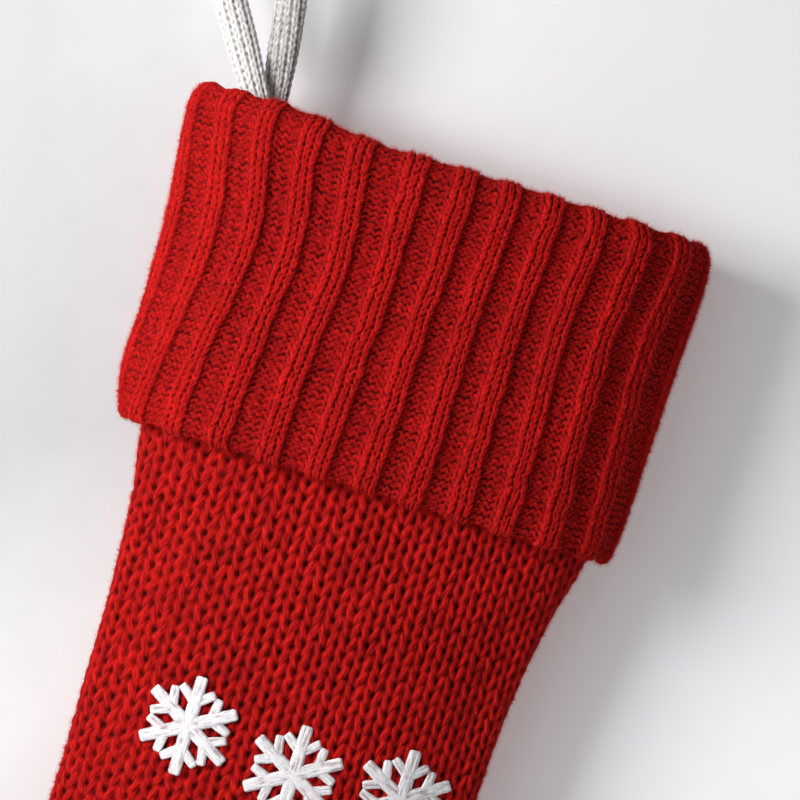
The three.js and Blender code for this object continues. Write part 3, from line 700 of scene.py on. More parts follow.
q_ = 1.0
leg_front, leg_front_skin = leg_panel("leg_front_knit", -1, 0.48 * q_, 0.90 * q_, 0.52 * q_, 1)
leg_back, leg_back_skin = leg_panel("leg_back_knit", 1, 1.05 * q_, 1.2 * q_, 1.1 * q_, 2)
finish_piece(leg_front, mat_leg, "stocking", "chunky_knit", "leg_front_panel")
finish_piece(leg_back, mat_leg, "stocking", "chunky_knit", "leg_back_panel")

# ------------------------------------------------------------------ cuff
RIB_H = np.array([6.0, 55.0, 105.0, 131.0])
RIB_U = np.array([
    [-12.8, 3.3, 21.3, 41.3, 63.3, 83.0, 100.5, 117.5, 134.7, 153.0, 170.0],
    [-5.3, 10.5, 26.3, 45.5, 63.8, 81.7, 98.8, 115.5, 132.2, 150.0, 166.3],
    [-9.5, 3.8, 22.2, 41.3, 61.3, 80.5, 98.5, 115.5, 133.8, 151.3, 168.0],
    [-11.5, 3.0, 21.6, 41.6, 60.6, 79.6, 98.0, 115.8, 134.2, 151.6, 168.0]])
N_RIBS = 25


def rib_u(h):
    """rib centre lines on the front at depth h: smooth through the four measured rows"""
    h = np.clip(h, 0, 131)
    out = np.empty(h.shape + (11,))
    k = np.clip(np.searchsorted(RIB_H, h, side="right") - 1, 0, 2)
    w = np.clip((h - RIB_H[k]) / (RIB_H[k + 1] - RIB_H[k]), 0, 1)
    m = np.zeros_like(RIB_U)
    m[1] = (RIB_U[2] - RIB_U[0]) / (RIB_H[2] - RIB_H[0])
    m[2] = (RIB_U[3] - RIB_U[1]) / (RIB_H[3] - RIB_H[1])
    dh = (RIB_H[k + 1] - RIB_H[k])[..., None]
    w = w[..., None]
    return ((2 * w ** 3 - 3 * w ** 2 + 1) * RIB_U[k] + (w ** 3 - 2 * w ** 2 + w) * dh * m[k]
            + (-2 * w ** 3 + 3 * w ** 2) * RIB_U[k + 1] + (w ** 3 - w ** 2) * dh * m[k + 1])


def cuff_edges(h):
    return np.interp(h, CUFF_EDGES[:, 0], CUFF_EDGES[:, 1]), np.interp(h, CUFF_EDGES[:, 0], CUFF_EDGES[:, 2])


def smooth_edges(h):
    a = sum(np.array(cuff_edges(h + o)) * w for o, w in ((-10, 0.25), (0, 0.5), (10, 0.25)))
    end = smooth(112, 131, h)
    e = np.array(cuff_edges(h))
    return lerp(a, e, end)


def around(k, L, R, B, Rd):
    front = k < 0.5
    x = np.where(front, k * 2, 2 - k * 2)
    f = (1 - np.cos(np.pi * x)) / 2
    e = (R - L) * f
    d = np.minimum(e, (R - L) - e)
    return L + e, np.where(front, -1, 1) * pillow(d, B, Rd)


def inL(h): return lerp(-19.5, -10.6, smooth(0, 93, h))
def inR(h): return lerp(171.5, 170.4, np.clip(h / 93, 0, 1))
def inRound(h): return lerp(MOUTH_ROUND, LEG_ROUND, smooth(12, 88, h))
def dip(u, h): return CUFF_DIP * smooth(2, 52, u) * (1 - smooth(FOLD_H, 46, h))


def build_cuff():
    kd = np.linspace(0, 1, 6001)
    u, y = around(kd, -25.0, 180.0, CUFF_B, CUFF_ROUND)
    cum = np.concatenate([[0], np.cumsum(np.hypot(np.diff(u), np.diff(y)))])
    total = cum[-1]
    half = np.interp(0.5, kd, cum)
    nf, nb = int(half / (0.44 * q_)), int((total - half) / (1.0 * q_))
    Sarc = np.concatenate([np.linspace(0, half, nf, endpoint=False), np.linspace(half, total, nb, endpoint=False)])
    K = np.interp(Sarc, cum, kd)
    # section: list of (layer mix, h); layers 0 outer, 1 its inner face, 2 and 3 the inner layer's two faces
    def layer(i, k, h):
        L, R = smooth_edges(h)
        if i == 0:
            uu, yy = around(k, L, R, CUFF_B, CUFF_ROUND)
            x = (uu - L) / (R - L) * 2 - 1
            d = np.minimum(uu - L, R - uu)
            return uu, np.where(k < 0.5, yy - (2.2 - 5.2 * x ** 2) * smooth(0, 16, d), yy)
        if i == 1: return around(k, L + CUFF_T + 1.6, R - CUFF_T - 1.6, CUFF_B - CUFF_T, CUFF_ROUND - CUFF_T)
        if i == 2: return around(k, inL(h), inR(h), LEG_B, inRound(h))
        return around(k, inL(h) + CUFF_IN_T, inR(h) - CUFF_IN_T, LEG_B - CUFF_IN_T, inRound(h) - CUFF_IN_T)
    rows = []      # (u, y, h, course coordinate, detail)
    course = 0.0
    n_out = int((CUFF_H - FOLD_H) / (0.48 * q_))
    hs = np.linspace(CUFF_H - 1.6, FOLD_H, n_out)
    # rolled lower lip, from inside to outside
    lip = 9
    for a in np.linspace(0.0, 1.0, lip, endpoint=False):
        phi = np.pi * (1 - a)                         # pi inside, 0 outside
        o, n = layer(0, K, np.full_like(K, CUFF_H - 1.6)), layer(1, K, np.full_like(K, CUFF_H - 1.6))
        f = (1 - math.cos(phi)) / 2
        rows.append((lerp(o[0], n[0], f), lerp(o[1], n[1], f), np.full_like(K, CUFF_H - 1.6 + 1.9 * math.sin(phi)), CUFF_H + 1.2 - a * 2.4, 0.55 + 0.45 * a))
    for h in hs:
        uu, yy = layer(0, K, np.full_like(K, h))
        rows.append((uu, yy, h + dip(uu, h), h, 1.0))
    n_fold = int(26 / (0.6 * q_))
    o, n = layer(0, K, np.full_like(K, FOLD_H)), layer(3, K, np.full_like(K, FOLD_H))
    for a in np.arange(1, n_fold) / n_fold:
        phi = np.pi * a
        f = (1 - math.cos(phi)) / 2
        uu, yy = lerp(o[0], n[0], f), lerp(o[1], n[1], f)
        rows.append((uu, yy, FOLD_H - FOLD_H * math.sin(phi) + dip(uu, 0.0), FOLD_H - 24.0 * a, 1.0))
    for h in np.linspace(FOLD_H, CUFF_IN_H, int(64 / q_)):
        uu, yy = layer(3, K, np.full_like(K, h))
        rows.append((uu, yy, h + dip(uu, h), -15.0 - (h - FOLD_H), 0.55))
    for h in (CUFF_IN_H, 60.0, 30.0, 8.0):
        uu, yy = layer(2, K, np.full_like(K, h))
        rows.append((uu, yy, h + dip(uu, h), h, 0.0))
    for h in (6.0, 30.0, 60.0, 90.0, 115.0):
        uu, yy = layer(1, K, np.full_like(K, h))
        rows.append((uu, yy, h + dip(uu, h), h, 0.0))
    U = np.array([np.broadcast_to(r[0], K.shape) for r in rows])
    Y = np.array([np.broadcast_to(r[1], K.shape) for r in rows])
    Hh = np.array([np.broadcast_to(r[2], K.shape) for r in rows])
    Cc = np.array([np.full(K.shape, r[3]) for r in rows])
    D = np.array([np.full(K.shape, r[4]) for r in rows])
    # rib coordinate
    Wc = np.empty_like(U)
    for i in range(len(rows)):
        h = float(np.clip(Cc[i, 0] + 2.0, 0, 131))
        ru = rib_u(np.array([h]))[0]
        L, R = smooth_edges(np.array(h))
        f = np.clip((ru - L) / (R - L), 0, 1)
        kk = np.arccos(1 - 2 * f) / np.pi / 2
        sk = np.interp(kk, kd, cum)
        knots = np.concatenate([sk, sk[-1] + (sk[0] + total - sk[-1]) * np.arange(1, N_RIBS - 10) / (N_RIBS - 10)])
        idx = np.arange(len(knots))
        knots = np.concatenate([[knots[-2] - total, knots[-1] - total], knots, [knots[0] + total, knots[1] + total]])
        idx = np.concatenate([[idx[-2] - N_RIBS, idx[-1] - N_RIBS], idx, [N_RIBS, N_RIBS + 1]])
        Wc[i] = np.interp(Sarc, knots, idx)
    # soften the knots' corners a little along the rows' direction
    w6 = Wc * 6.0
    wob = 0.16 * value_noise(Wc * 2.3, Cc / 9.0, 51) + 0.12 * value_noise(Wc * 6.0, Cc / 3.2, 52)
    wobw = wob * (D > 0.01)
    w6 = w6 + wobw
    c = np.mod(w6 + 3.0, 6.0) - 3.0                                # wales from the nearest rib's middle
    env = 1 - smooth(0.95, 2.1, np.abs(c))
    WW, CC = 2.9, 2.72
    yy = Cc + 0.5 * value_noise(Wc * 1.7, Cc / 30.0, 53) + 100 * CC
    xk = w6 * WW + WW * 0.5
    Hk, sd, tk = stockinette(xk, yy, WW, CC, ang=19, la=0.84, lb=0.27, off=0.20, jit=1.5, seed=5, wrap=N_RIBS * 6)
    Hp, tp = purl(xk, yy, WW, CC, seed=6, jit=1.3, wrap=N_RIBS * 6)
    gap = np.abs(np.mod(w6 + 0.5, 1.0) - 0.5) * 2                  # 0 on a wale's middle, 1 between two wales
    Hk = Hk * (1 - 0.75 * smooth(0.62, 1.0, gap) * (0.62 + 0.38 * np.cos(2 * np.pi * (yy / CC - 0.15))))
    H = np.where(np.abs(c) < 1.55, Hk, Hp)
    tone = np.where(np.abs(c) < 1.55, tk, tp)
    sd = np.where(np.abs(c) < 1.55, sd, 0.5)
    disp = (env - 0.55) * 1.85 * lerp(0.5, 1.0, smooth(-8, 14, Cc)) + (H - 0.6) * lerp(1.08, 1.15, env) + 0.35 * value_noise(Wc * 0.9, Cc / 35.0, 54)
    P = np.stack([U, Y, Hh], -1)
    N = grid_normals(P, wrap_i=True, wrap_j=True)
    # outward: the front's outer face has -Y
    mid_row = lip + n_out // 2
    if N[mid_row, nf // 2, 1] > 0:
        N = -N
    lipfade = np.clip(D, 0, 1)
    V = P + N * (disp * lipfade)[..., None]
    A = world(V[..., 0], V[..., 1], V[..., 2])
    kn = np.stack([w6 * WW, yy, np.zeros_like(yy)], -1)
    n, m = U.shape
    # painted shade: the colour darkens with the stitch relief and a little more in the purl grooves between ribs; the
    # inner faces get a flat middle value
    hollow_shade_and_tone = np.where(D > 0.01, H * lerp(0.80, 1.0, env), 0.4)
    ob = raw_mesh("cuff_rib_knit", A.reshape(-1, 3), grid_quads(n, m, wrap_i=True, wrap_j=True), None,
                  {"knit": kn.reshape(-1, 3), "hollow_shade_and_tone": hollow_shade_and_tone, "side": sd, "tone": tone})
    rows_out = slice(0, lip + n_out + n_fold - 1)
    return ob, (A[rows_out], N[rows_out], nf)


cuff, cuff_skin = build_cuff()
finish_piece(cuff, mat_cuff, "stocking", "rib_knit", "ribbed_cuff")


# ------------------------------------------------------------------ loose fibres
def fibres(name, points, normals, n, seed, length, radius, body, mat, slot):
    rng = np.random.default_rng(seed)
    pick = rng.integers(0, len(points), n)
    P, N = points[pick], normals[pick]
    N = N + rng.normal(0, 0.55, N.shape)
    N /= np.linalg.norm(N, axis=1, keepdims=True)
    side = np.cross(N, rng.normal(0, 1, N.shape))
    side /= np.linalg.norm(side, axis=1, keepdims=True)
    L = (length[0] + (length[1] - length[0]) * rng.random(n) ** 2.2)[:, None] / 1000
    curl = rng.uniform(0.3, 1.1, n)[:, None]
    pts = [P - N * 0.0003, P + N * L * 0.5 + side * L * 0.16 * curl, P + N * L * 0.86 + side * L * 0.55 * curl]
    up = np.cross(N, side)
    rings = []
    for k, (p, r) in enumerate(zip(pts, (1.0, 0.8, 0.3))):
        ring = [p + (side * math.cos(a) + up * math.sin(a)) * radius / 1000 * r for a in (0, 2 * math.pi / 3, 4 * math.pi / 3)]
        rings.append(np.stack(ring, 1))
    V = np.stack(rings, 1).reshape(n, 9, 3)
    f = []
    for k in range(2):
        for j in range(3):
            f.append([k * 3 + j, k * 3 + (j + 1) % 3, (k + 1) * 3 + (j + 1) % 3, (k + 1) * 3 + j])
    f = np.array(f)
    t = np.array([[2, 1, 0], [6, 7, 8]])
    base = (np.arange(n) * 9)[:, None, None]
    ob = raw_mesh(name, V.reshape(-1, 3), (f[None] + base).reshape(-1, 4), (t[None] + base).reshape(-1, 3), None, False)
    return finish_piece(ob, mat, body, slot)


def short_fuzz(name, points, normals, n, seed, length, radius, body, mat, slot):
    """a nap of short tapered fibres"""
    rng = np.random.default_rng(seed)
    pick = rng.integers(0, len(points), n)
    P, N = points[pick] + rng.normal(0, 0.00012, (n, 3)), normals[pick]
    D = N + rng.normal(0, 0.75, N.shape)
    D /= np.linalg.norm(D, axis=1, keepdims=True)
    X = np.cross(D, rng.normal(0, 1, D.shape))
    X /= np.linalg.norm(X, axis=1, keepdims=True)
    Y = np.cross(D, X)
    L = (length[0] + (length[1] - length[0]) * rng.random(n) ** 1.6)[:, None] / 1000
    base = P - N * 0.0002
    ring = [base + (X * math.cos(a) + Y * math.sin(a)) * radius / 1000 for a in (0, 2 * math.pi / 3, 4 * math.pi / 3)]
    V = np.stack(ring + [P + D * L], 1).reshape(-1, 3)
    t = np.array([[0, 2, 1], [0, 1, 3], [1, 2, 3], [2, 0, 3]])
    T = (t[None] + (np.arange(n) * 4)[:, None, None]).reshape(-1, 3)
    v = V[T[:4]]
    c = V[:4].mean(0)
    if np.dot(np.cross(v[0][1] - v[0][0], v[0][2] - v[0][0]), v[0].mean(0) - c) < 0:
        T = T[:, ::-1]
    ob = raw_mesh(name, V, None, T, None, False)
    return finish_piece(ob, mat, body, slot)


def to_world_dir(N):
    return np.stack([N[..., 0] * CT - N[..., 2] * ST, N[..., 1], -N[..., 0] * ST - N[..., 2] * CT], -1)


def skin_points(A, N, keep=None):
    P, Q = A.reshape(-1, 3), to_world_dir(N).reshape(-1, 3)
    if keep is not None:
        k = keep.reshape(-1)
        P, Q = P[k], Q[k]
    return P, Q


def clear_of_cord(P, gap=0.0112):
    """True for points (m) that the cord doesn't come near anywhere in its swing"""
    keep = np.ones(len(P), bool)
    c = pivot / 1000
    path = lp[::12] / 1000 - c
    for sa, fa in [(a, 0) for a in (-14, -7, 0, 8, 16, 24, 32, 40, 45)] + [(a, f) for a in (-14, 0, 45) for f in (15, -20)]:
        ca, sn = math.cos(math.radians(sa)), math.sin(math.radians(sa))
        q = np.stack([path[:, 0] * ca + path[:, 2] * sn, path[:, 1], -path[:, 0] * sn + path[:, 2] * ca], -1)
        ca, sn = math.cos(math.radians(fa)), math.sin(math.radians(fa))
        q = np.stack([q[:, 0], q[:, 1] * ca - q[:, 2] * sn, q[:, 1] * sn + q[:, 2] * ca], -1) + c
        for k in q:
            keep &= ((P - k) ** 2).sum(1) > gap * gap
    return keep


fz = 1.0
Ac, Nc, nfc = cuff_skin
pc, qc = skin_points(Ac, Nc)
def rim_weight(P, Q, n, seed):
    """more fibres stand out where the cloth turns away from the front"""
    rng = np.random.default_rng(seed)
    w = 0.10 + (np.abs(Q[:, 1]) < 0.5) * 1.0
    w = w * (P[:, 1] < 0.012)
    pick = rng.choice(len(P), n, p=w / w.sum())
    return P[pick], Q[pick]


pc, qc = rim_weight(pc, qc, 60000, 21)
free_ = clear_of_cord(pc)
pc, qc = pc[free_], qc[free_]
fibres("cuff_loose_fibres", pc, qc, int(7000 * fz), 11, (0.9, 3.2), 0.03, "stocking", mat_fuzz, "rib_knit")
short_fuzz("cuff_nap", pc, qc, int(49000 * fz), 13, (0.6, 2.6), 0.058, "stocking", mat_fuzz, "rib_knit")
Al, Nl, _ = leg_front_skin
Ab, Nb, _ = leg_back_skin
seen = np.zeros(Al.shape[:2], bool)
seen[:] = Al[..., 2] < -0.19
pl, ql = skin_points(Al, Nl, seen)
pb, qb = skin_points(Ab, Nb, Ab[..., 2] < -0.19)
rng = np.random.default_rng(5)
pl, ql = rim_weight(np.vstack([pl, pb]), np.vstack([ql, qb]), 60000, 22)
fibres("leg_loose_fibres", pl, ql, int(6000 * fz), 12, (0.9, 3.2), 0.03, "stocking", mat_fuzz, "chunky_knit")
short_fuzz("leg_nap", pl, ql, int(49000 * fz), 14, (0.6, 2.4), 0.056, "stocking", mat_fuzz, "chunky_knit")


cord_me = loop_ob.data
cp = np.empty(len(cord_me.vertices) * 3, np.float32); cord_me.vertices.foreach_get("co", cp)
cn = np.empty(len(cord_me.vertices) * 3, np.float32); cord_me.vertices.foreach_get("normal", cn)
cp, cn = cp.reshape(-1, 3).astype(float), cn.reshape(-1, 3).astype(float)
up_ = cp[:, 2] > -0.078
short_fuzz("cord_nap", cp[up_], cn[up_], int(14000 * fz), 15, (0.4, 1.3), 0.032, "loop", mat_fuzz_w, "cord_knit")


# ------------------------------------------------------------------ embroidery
def leg_face(u, h):
    d = edge_distance(u, h)
    left, right = np.interp(h, [131, 159, 196, 238, 276, 325], [-9.8, -5.4, -2.8, -2.0, -1.6, -4]), np.interp(h, [131, 160, 196, 238, 274, 312], [169.6, 162.6, 157.5, 155.4, 152.5, 144.5])
    return pillow(d, LEG_B, LEG_ROUND) + leg_swell((u - left) / (right - left), h, d)


def satin_bar(length, w0, w1, u0, h0, angle, seed, lift):
    """a raised bar of satin stitches laid on the leg; returns vertices, quads and attributes"""
    na, nc = int(length / 0.3), 17
    a = np.linspace(-1.2, length, na)
    c = np.linspace(-1, 1, nc)
    Aa, C = np.meshgrid(a, c, indexing="ij")
    w = lerp(w0, w1, np.clip(Aa / length, 0, 1)) / 2
    end = np.minimum(np.clip((Aa + 1.2) / 1.0, 0, 1), np.clip((length - Aa) / 0.9, 0, 1))
    w = w * (0.72 + 0.28 * np.sqrt(end))
    stitch = Aa / 0.62
    ridge = 0.5 + 0.5 * np.cos(2 * np.pi * (stitch + 0.18 * C))
    jit = (rnd(np.round(stitch), np.zeros_like(stitch), seed) - 0.5)
    edge = w * (1 + 0.05 * jit)
    x = C * edge
    lay = value_noise(x * 1.7 + seed * 7.3, Aa * 0.33, 81)
    z = 1.0 * np.sqrt(np.maximum(0, 1 - (np.abs(C) ** 4.0))) * (0.35 + 0.65 * np.sqrt(end)) + (ridge * 0.05 + 0.16 * lay) * (1 - np.abs(C) ** 4)
    ca, sa = math.cos(angle), math.sin(angle)
    u = u0 + Aa * sa + x * ca
    h = h0 - Aa * ca + x * sa
    top = np.stack([u, -(leg_face(u, h) + 0.55 + lift + z), h], -1)
    bot = np.stack([u, -(leg_face(u, h) + 0.15), h], -1)
    n, m = top.shape[:2]
    V = np.vstack([world(top[..., 0], top[..., 1], top[..., 2]).reshape(-1, 3), world(bot[..., 0], bot[..., 1], bot[..., 2]).reshape(-1, 3)])
    q = grid_quads(n, m)
    idx = np.arange(n * m).reshape(n, m)
    loop = np.concatenate([idx[0, :-1], idx[:-1, -1], idx[-1, :0:-1], idx[:0:-1, 0]])
    nxt = np.roll(loop, -1)
    sideq = np.stack([loop, loop + n * m, nxt + n * m, nxt], -1)
    Q = np.vstack([q, q[:, ::-1] + n * m, sideq])
    kn = np.stack([x * 1.0 + seed * 5.7, Aa * 1.0, np.full_like(x, seed * 3.1)], -1).reshape(-1, 3)
    # random lay of the threads, plus painted shade that darkens the bar toward its edges and in the grooves between
    # stitches
    hollow_shade_and_tone = np.clip(0.72 + 0.65 * lay + 0.1 * ridge, 0, 1) * (1 - 0.35 * np.abs(C) ** 3)
    one = np.concatenate([hollow_shade_and_tone.ravel(), np.full(n * m, 0.3)])
    tone = np.concatenate([(jit + 0.5).ravel(), np.full(n * m, 0.5)])
    return V, Q, np.vstack([kn, kn]), one, tone


def build_flake(name, u0, h0, seed):
    parts = []
    for i in range(6):
        a = i * math.pi / 3
        parts.append(satin_bar(19.3, 5.6, 4.6, u0, h0, a, seed + i, 0.25))
        bx, bz = math.sin(a) * 9.0, math.cos(a) * 9.0
        for k in (-1, 1):
            parts.append(satin_bar(8.6, 4.2, 3.4, u0 + bx, h0 - bz, a + k * 0.92, seed + 10 + i * 2 + k, 0.0))
    Vs, Qs, K, C, T, base = [], [], [], [], [], 0
    for V, Q, kn, one, tone in parts:
        # each bar turned outward on its own
        c = V - V.mean(0)
        t = np.vstack([Q[:, [0, 1, 2]], Q[:, [0, 2, 3]]])
        if np.einsum("ij,ij->i", c[t[:, 0]], np.cross(c[t[:, 1]], c[t[:, 2]])).sum() < 0:
            Q = Q[:, ::-1]
        Vs.append(V); Qs.append(Q + base); K.append(kn); C.append(one); T.append(tone)
        base += len(V)
    hollow_shade_and_tone = np.concatenate(C)
    return raw_mesh(name, np.vstack(Vs), np.vstack(Qs), None, {"knit": np.vstack(K), "hollow_shade_and_tone": hollow_shade_and_tone, "side": np.zeros_like(hollow_shade_and_tone), "tone": np.concatenate(T)})


for k, (name, u, h) in enumerate(FLAKES):
    ob = build_flake("embroidered_" + name, u, h, 40 * (k + 1))
    finish_piece(ob, mat_thread, "stocking", "embroidery_thread", name)


# ------------------------------------------------------------------ seams of plied yarn
def yarn(P, r, closed=False, plies=3, lay=5.0, cols=15, amp=0.28, seed=1):
    T = np.roll(P, -1, 0) - np.roll(P, 1, 0) if closed else np.gradient(P, axis=0)
    T /= np.linalg.norm(T, axis=1, keepdims=True)
    seg = np.linalg.norm(np.diff(P, axis=0), axis=1)
    L = np.concatenate([[0], np.cumsum(seg)])
    ref = np.array([0, 1.0, 0])
    Y = ref - T * T[:, 1:2]
    Y /= np.linalg.norm(Y, axis=1, keepdims=True)
    X = np.cross(Y, T)
    a = np.arange(cols) / cols * 2 * np.pi
    total = L[-1] + (np.linalg.norm(P[0] - P[-1]) if closed else 0)
    turns = round(total / lay) if closed else total / lay
    ph = a[None] * plies - 2 * np.pi * turns * plies * (L / total)[:, None] / plies * 1.0
    rr = r * (1 - amp + amp * np.abs(np.cos(ph / 2)) ** 0.8 * 1.2)
    if not closed:
        end = np.minimum(L, L[-1] - L)
        rr = rr * np.sqrt(np.clip(1 - (1 - np.clip(end / r, 0, 1)) ** 2, 0.03, 1))[:, None]
    V = P[:, None] + (X[:, None] * np.cos(a)[None, :, None] + Y[:, None] * np.sin(a)[None, :, None]) * rr[..., None]
    n, m = V.shape[:2]
    quads = grid_quads(n, m, wrap_i=closed, wrap_j=True)
    verts = V.reshape(-1, 3)
    # painted shade: the grooves between the plies are drawn darker
    hollow_shade_and_tone = (np.abs(np.cos(ph / 2))).ravel()
    kn = np.stack(np.broadcast_arrays(a[None] * r, L[:, None], np.zeros((1, 1))), -1).reshape(-1, 3)
    tris = None
    if not closed:
        verts = np.vstack([verts, P[0], P[-1]])
        j = np.arange(m)
        tris = np.vstack([np.stack([np.full(m, n * m), (j + 1) % m, j], -1), np.stack([np.full(m, n * m + 1), (n - 1) * m + j, (n - 1) * m + (j + 1) % m], -1)])
        q = quads[len(quads) // 2]
        i0 = q[0] // m
        if np.dot(np.cross(verts[q[1]] - verts[q[0]], verts[q[2]] - verts[q[0]]), verts[q[0]] - P[i0]) < 0:
            quads = quads[:, ::-1]
        t = tris[0]
        if np.dot(np.cross(verts[t[1]] - verts[t[0]], verts[t[2]] - verts[t[0]]), P[0] - P[1]) < 0:
            tris = tris[:, ::-1]
        hollow_shade_and_tone = np.concatenate([hollow_shade_and_tone, [0.5, 0.5]])
        kn = np.vstack([kn, [0, 0, 0], [0, 0, 0]])
    return verts, quads, tris, hollow_shade_and_tone, kn


def yarn_piece(name, lines, r, closed, mat, body, slot, nodes, to_world=True, **kw):
    Vs, Qs, Ts, C, K, base = [], [], [], [], [], 0
    for P in lines:
        v, q, t, c, k = yarn(P, r, closed, **kw)
        Vs.append(v); Qs.append(q + base); C.append(c); K.append(k)
        if t is not None:
            Ts.append(t + base)
        base += len(v)
    V = np.vstack(Vs)
    V = world(V[:, 0], V[:, 1], V[:, 2]) if to_world else V / 1000.0
    hollow_shade_and_tone = np.concatenate(C)
    ob = raw_mesh(name, V, np.vstack(Qs), np.vstack(Ts) if Ts else None, {"knit": np.vstack(K), "hollow_shade_and_tone": hollow_shade_and_tone, "side": np.zeros_like(hollow_shade_and_tone), "tone": np.full_like(hollow_shade_and_tone, 0.5)})
    return finish_piece(ob, mat, body, slot, *nodes)


def along_edge(inset, step):
    s = np.linspace(0, 0.985, 900)
    a = np.stack(plan(s, np.zeros_like(s), inset), -1)
    t = (1 - np.cos(np.pi * np.linspace(0, 1, 60))) / 2
    b = np.stack(plan(np.ones_like(t), t, inset), -1)
    c = np.stack(plan(s[::-1], np.ones_like(s), inset), -1)
    p = np.vstack([a, b, c])
    d = np.concatenate([[0], np.cumsum(np.hypot(*np.diff(p, axis=0).T))])
    q = np.arange(0, d[-1], step)
    return np.stack([np.interp(q, d, p[:, 0]), np.interp(q, d, p[:, 1])], -1), q


edge, dist = along_edge(SEAM_INSET, 0.8)
seam_line = np.stack([edge[:, 0] + 0.25 * np.sin(dist * 2 * np.pi / 6.0), 0.3 * np.cos(dist * 2 * np.pi / 6.0), edge[:, 1]], -1)
yarn_piece("side_linking_seam", [seam_line], 0.85, False, mat_seam, "stocking", "seam_yarn", ["side_seam"], cols=12)

kk = np.linspace(0, 1, 700, endpoint=False)
ju, jy = around(kk, -10.6 + 1.1, 170.4 - 1.1, LEG_B - 1.1, LEG_ROUND - 1.0)
jl = np.concatenate([[0], np.cumsum(np.hypot(np.diff(ju), np.diff(jy)))])
kk = np.interp(np.linspace(0, jl[-1], 620, endpoint=False), jl, kk)
ju, jy = around(kk, -10.6 + 1.1, 170.4 - 1.1, LEG_B - 1.1, LEG_ROUND - 1.0)
joint = np.stack([ju, jy, 91.5 + 0.3 * np.sin(np.arange(620) * 2 * np.pi / 10)], -1)
yarn_piece("cuff_linking_seam", [joint], 0.85, True, mat_seam, "stocking", "seam_yarn", ["cuff_joint_seam"], cols=12)


# ------------------------------------------------------------------ lining, backing, label
def lining_panel(name, side, seed, nodes):
    s = np.linspace(0, 1, int(150 / q_))
    t, _ = cols_by_length(145.0, LIN_B, LIN_ROUND, 2.2 * q_)
    S, Tt = np.meshgrid(s, t, indexing="ij")
    grids = []
    for extra, b, r in ((0.0, LIN_B, LIN_ROUND), (LIN_T, LIN_B - LIN_T, LIN_ROUND - LIN_T)):
        u, h = plan(S, Tt, LIN_INSET + extra)
        d = edge_distance(u, h) - LIN_INSET - extra
        d[:, 0] = 0; d[:, -1] = 0
        d[-1] = 0
        f = np.clip(d / 14, 0, 1)
        fold = (0.35 * value_noise(u / 11.0, h / 42.0, 71 + seed) - 0.35) * f     # shallow folds, drawn in from the knit
        y = GAP / 2 + np.maximum(pillow(d, b, r) + fold, 0)
        y[-1] = GAP / 2
        grids.append(world(u, side * y, h))
    u, h = plan(S, Tt, LIN_INSET)
    z = np.zeros_like(u)
    ob = shell(name, grids[0], grids[1], {"hollow_shade_and_tone": z + 1}, {"hollow_shade_and_tone": z + 1})
    finish_piece(ob, mat_lining, "stocking", "lining_cloth", *nodes)
    A = grids[0]
    e1, e2 = A[1:, :-1] - A[:-1, :-1], A[:-1, 1:] - A[:-1, :-1]
    e3, e4 = A[1:, :-1] - A[1:, 1:], A[:-1, 1:] - A[1:, 1:]
    area = 0.5 * (np.linalg.norm(np.cross(e1, e2), axis=-1).sum() + np.linalg.norm(np.cross(e3, e4), axis=-1).sum())
    return ob, float(area)


lin_f, area_f = lining_panel("lining_front_cloth", -1, 1, ["lining_front_panel"])
lin_b, area_b = lining_panel("lining_back_cloth", 1, 2, ["lining_back_panel"])


def backing():
    u = np.linspace(24, 143, 90)
    h = np.linspace(215, 264, 40)
    Hh, U = np.meshgrid(h, u, indexing="ij")
    ku = 0.5 * value_noise(Hh / 6.0, np.zeros_like(Hh), 81) * smooth(0.9, 1.0, np.abs((U - 83.5) / 59.5))
    grids = []
    for back_ in (0.0, 0.45):
        d = edge_distance(U, Hh) - LEG_T
        y = pillow(d, LEG_B - LEG_T, LEG_ROUND - LEG_T) - 0.75 - back_ + 0.08 * value_noise(U / 5.0, Hh / 5.0, 82)
        grids.append(world(U + ku, -y, Hh))
    z = np.zeros_like(U)
    ob = shell("embroidery_backing_sheet", grids[0], grids[1], {"hollow_shade_and_tone": z + 1}, {"hollow_shade_and_tone": z + 1})
    return finish_piece(ob, mat_felt, "stocking", "backing_felt", "embroidery_backing")


back_ob = backing()


def label():
    u = np.linspace(-14, 14, 57)
    h = np.linspace(-9, 9, 37)
    Hh, U = np.meshgrid(h, u, indexing="ij")
    curl = 0.10 * value_noise(U / 8.0, Hh / 8.0, 91)
    hem = 0.10 * smooth(7.6, 8.2, np.abs(Hh))
    grids = [world(78 + U, LIN_B - LIN_T - 0.65 + (o) + curl * (1 if o < 0 else 1) - (hem if o < 0 else 0), 112 + Hh) for o in (-0.16, 0.16)]
    z = np.zeros_like(U)
    ob = shell("care_label_tape", grids[0], grids[1], {"hollow_shade_and_tone": z + 1}, {"hollow_shade_and_tone": z + 1})
    return finish_piece(ob, mat_label, "stocking", "label_tape", "care_label")


label_ob = label()

# ------------------------------------------------------------------ sewing of the loop
strands = []
for k in range(7):
    a = k * 2 * math.pi / 6
    rr = 0.0 if k == 6 else 0.78
    yv = np.linspace(-5.2, 6.2, 90)
    tw = yv * 0.22
    strands.append(np.stack([pivot[0] + rr * np.cos(a + tw), yv, pivot[2] + rr * np.sin(a + tw)], -1))


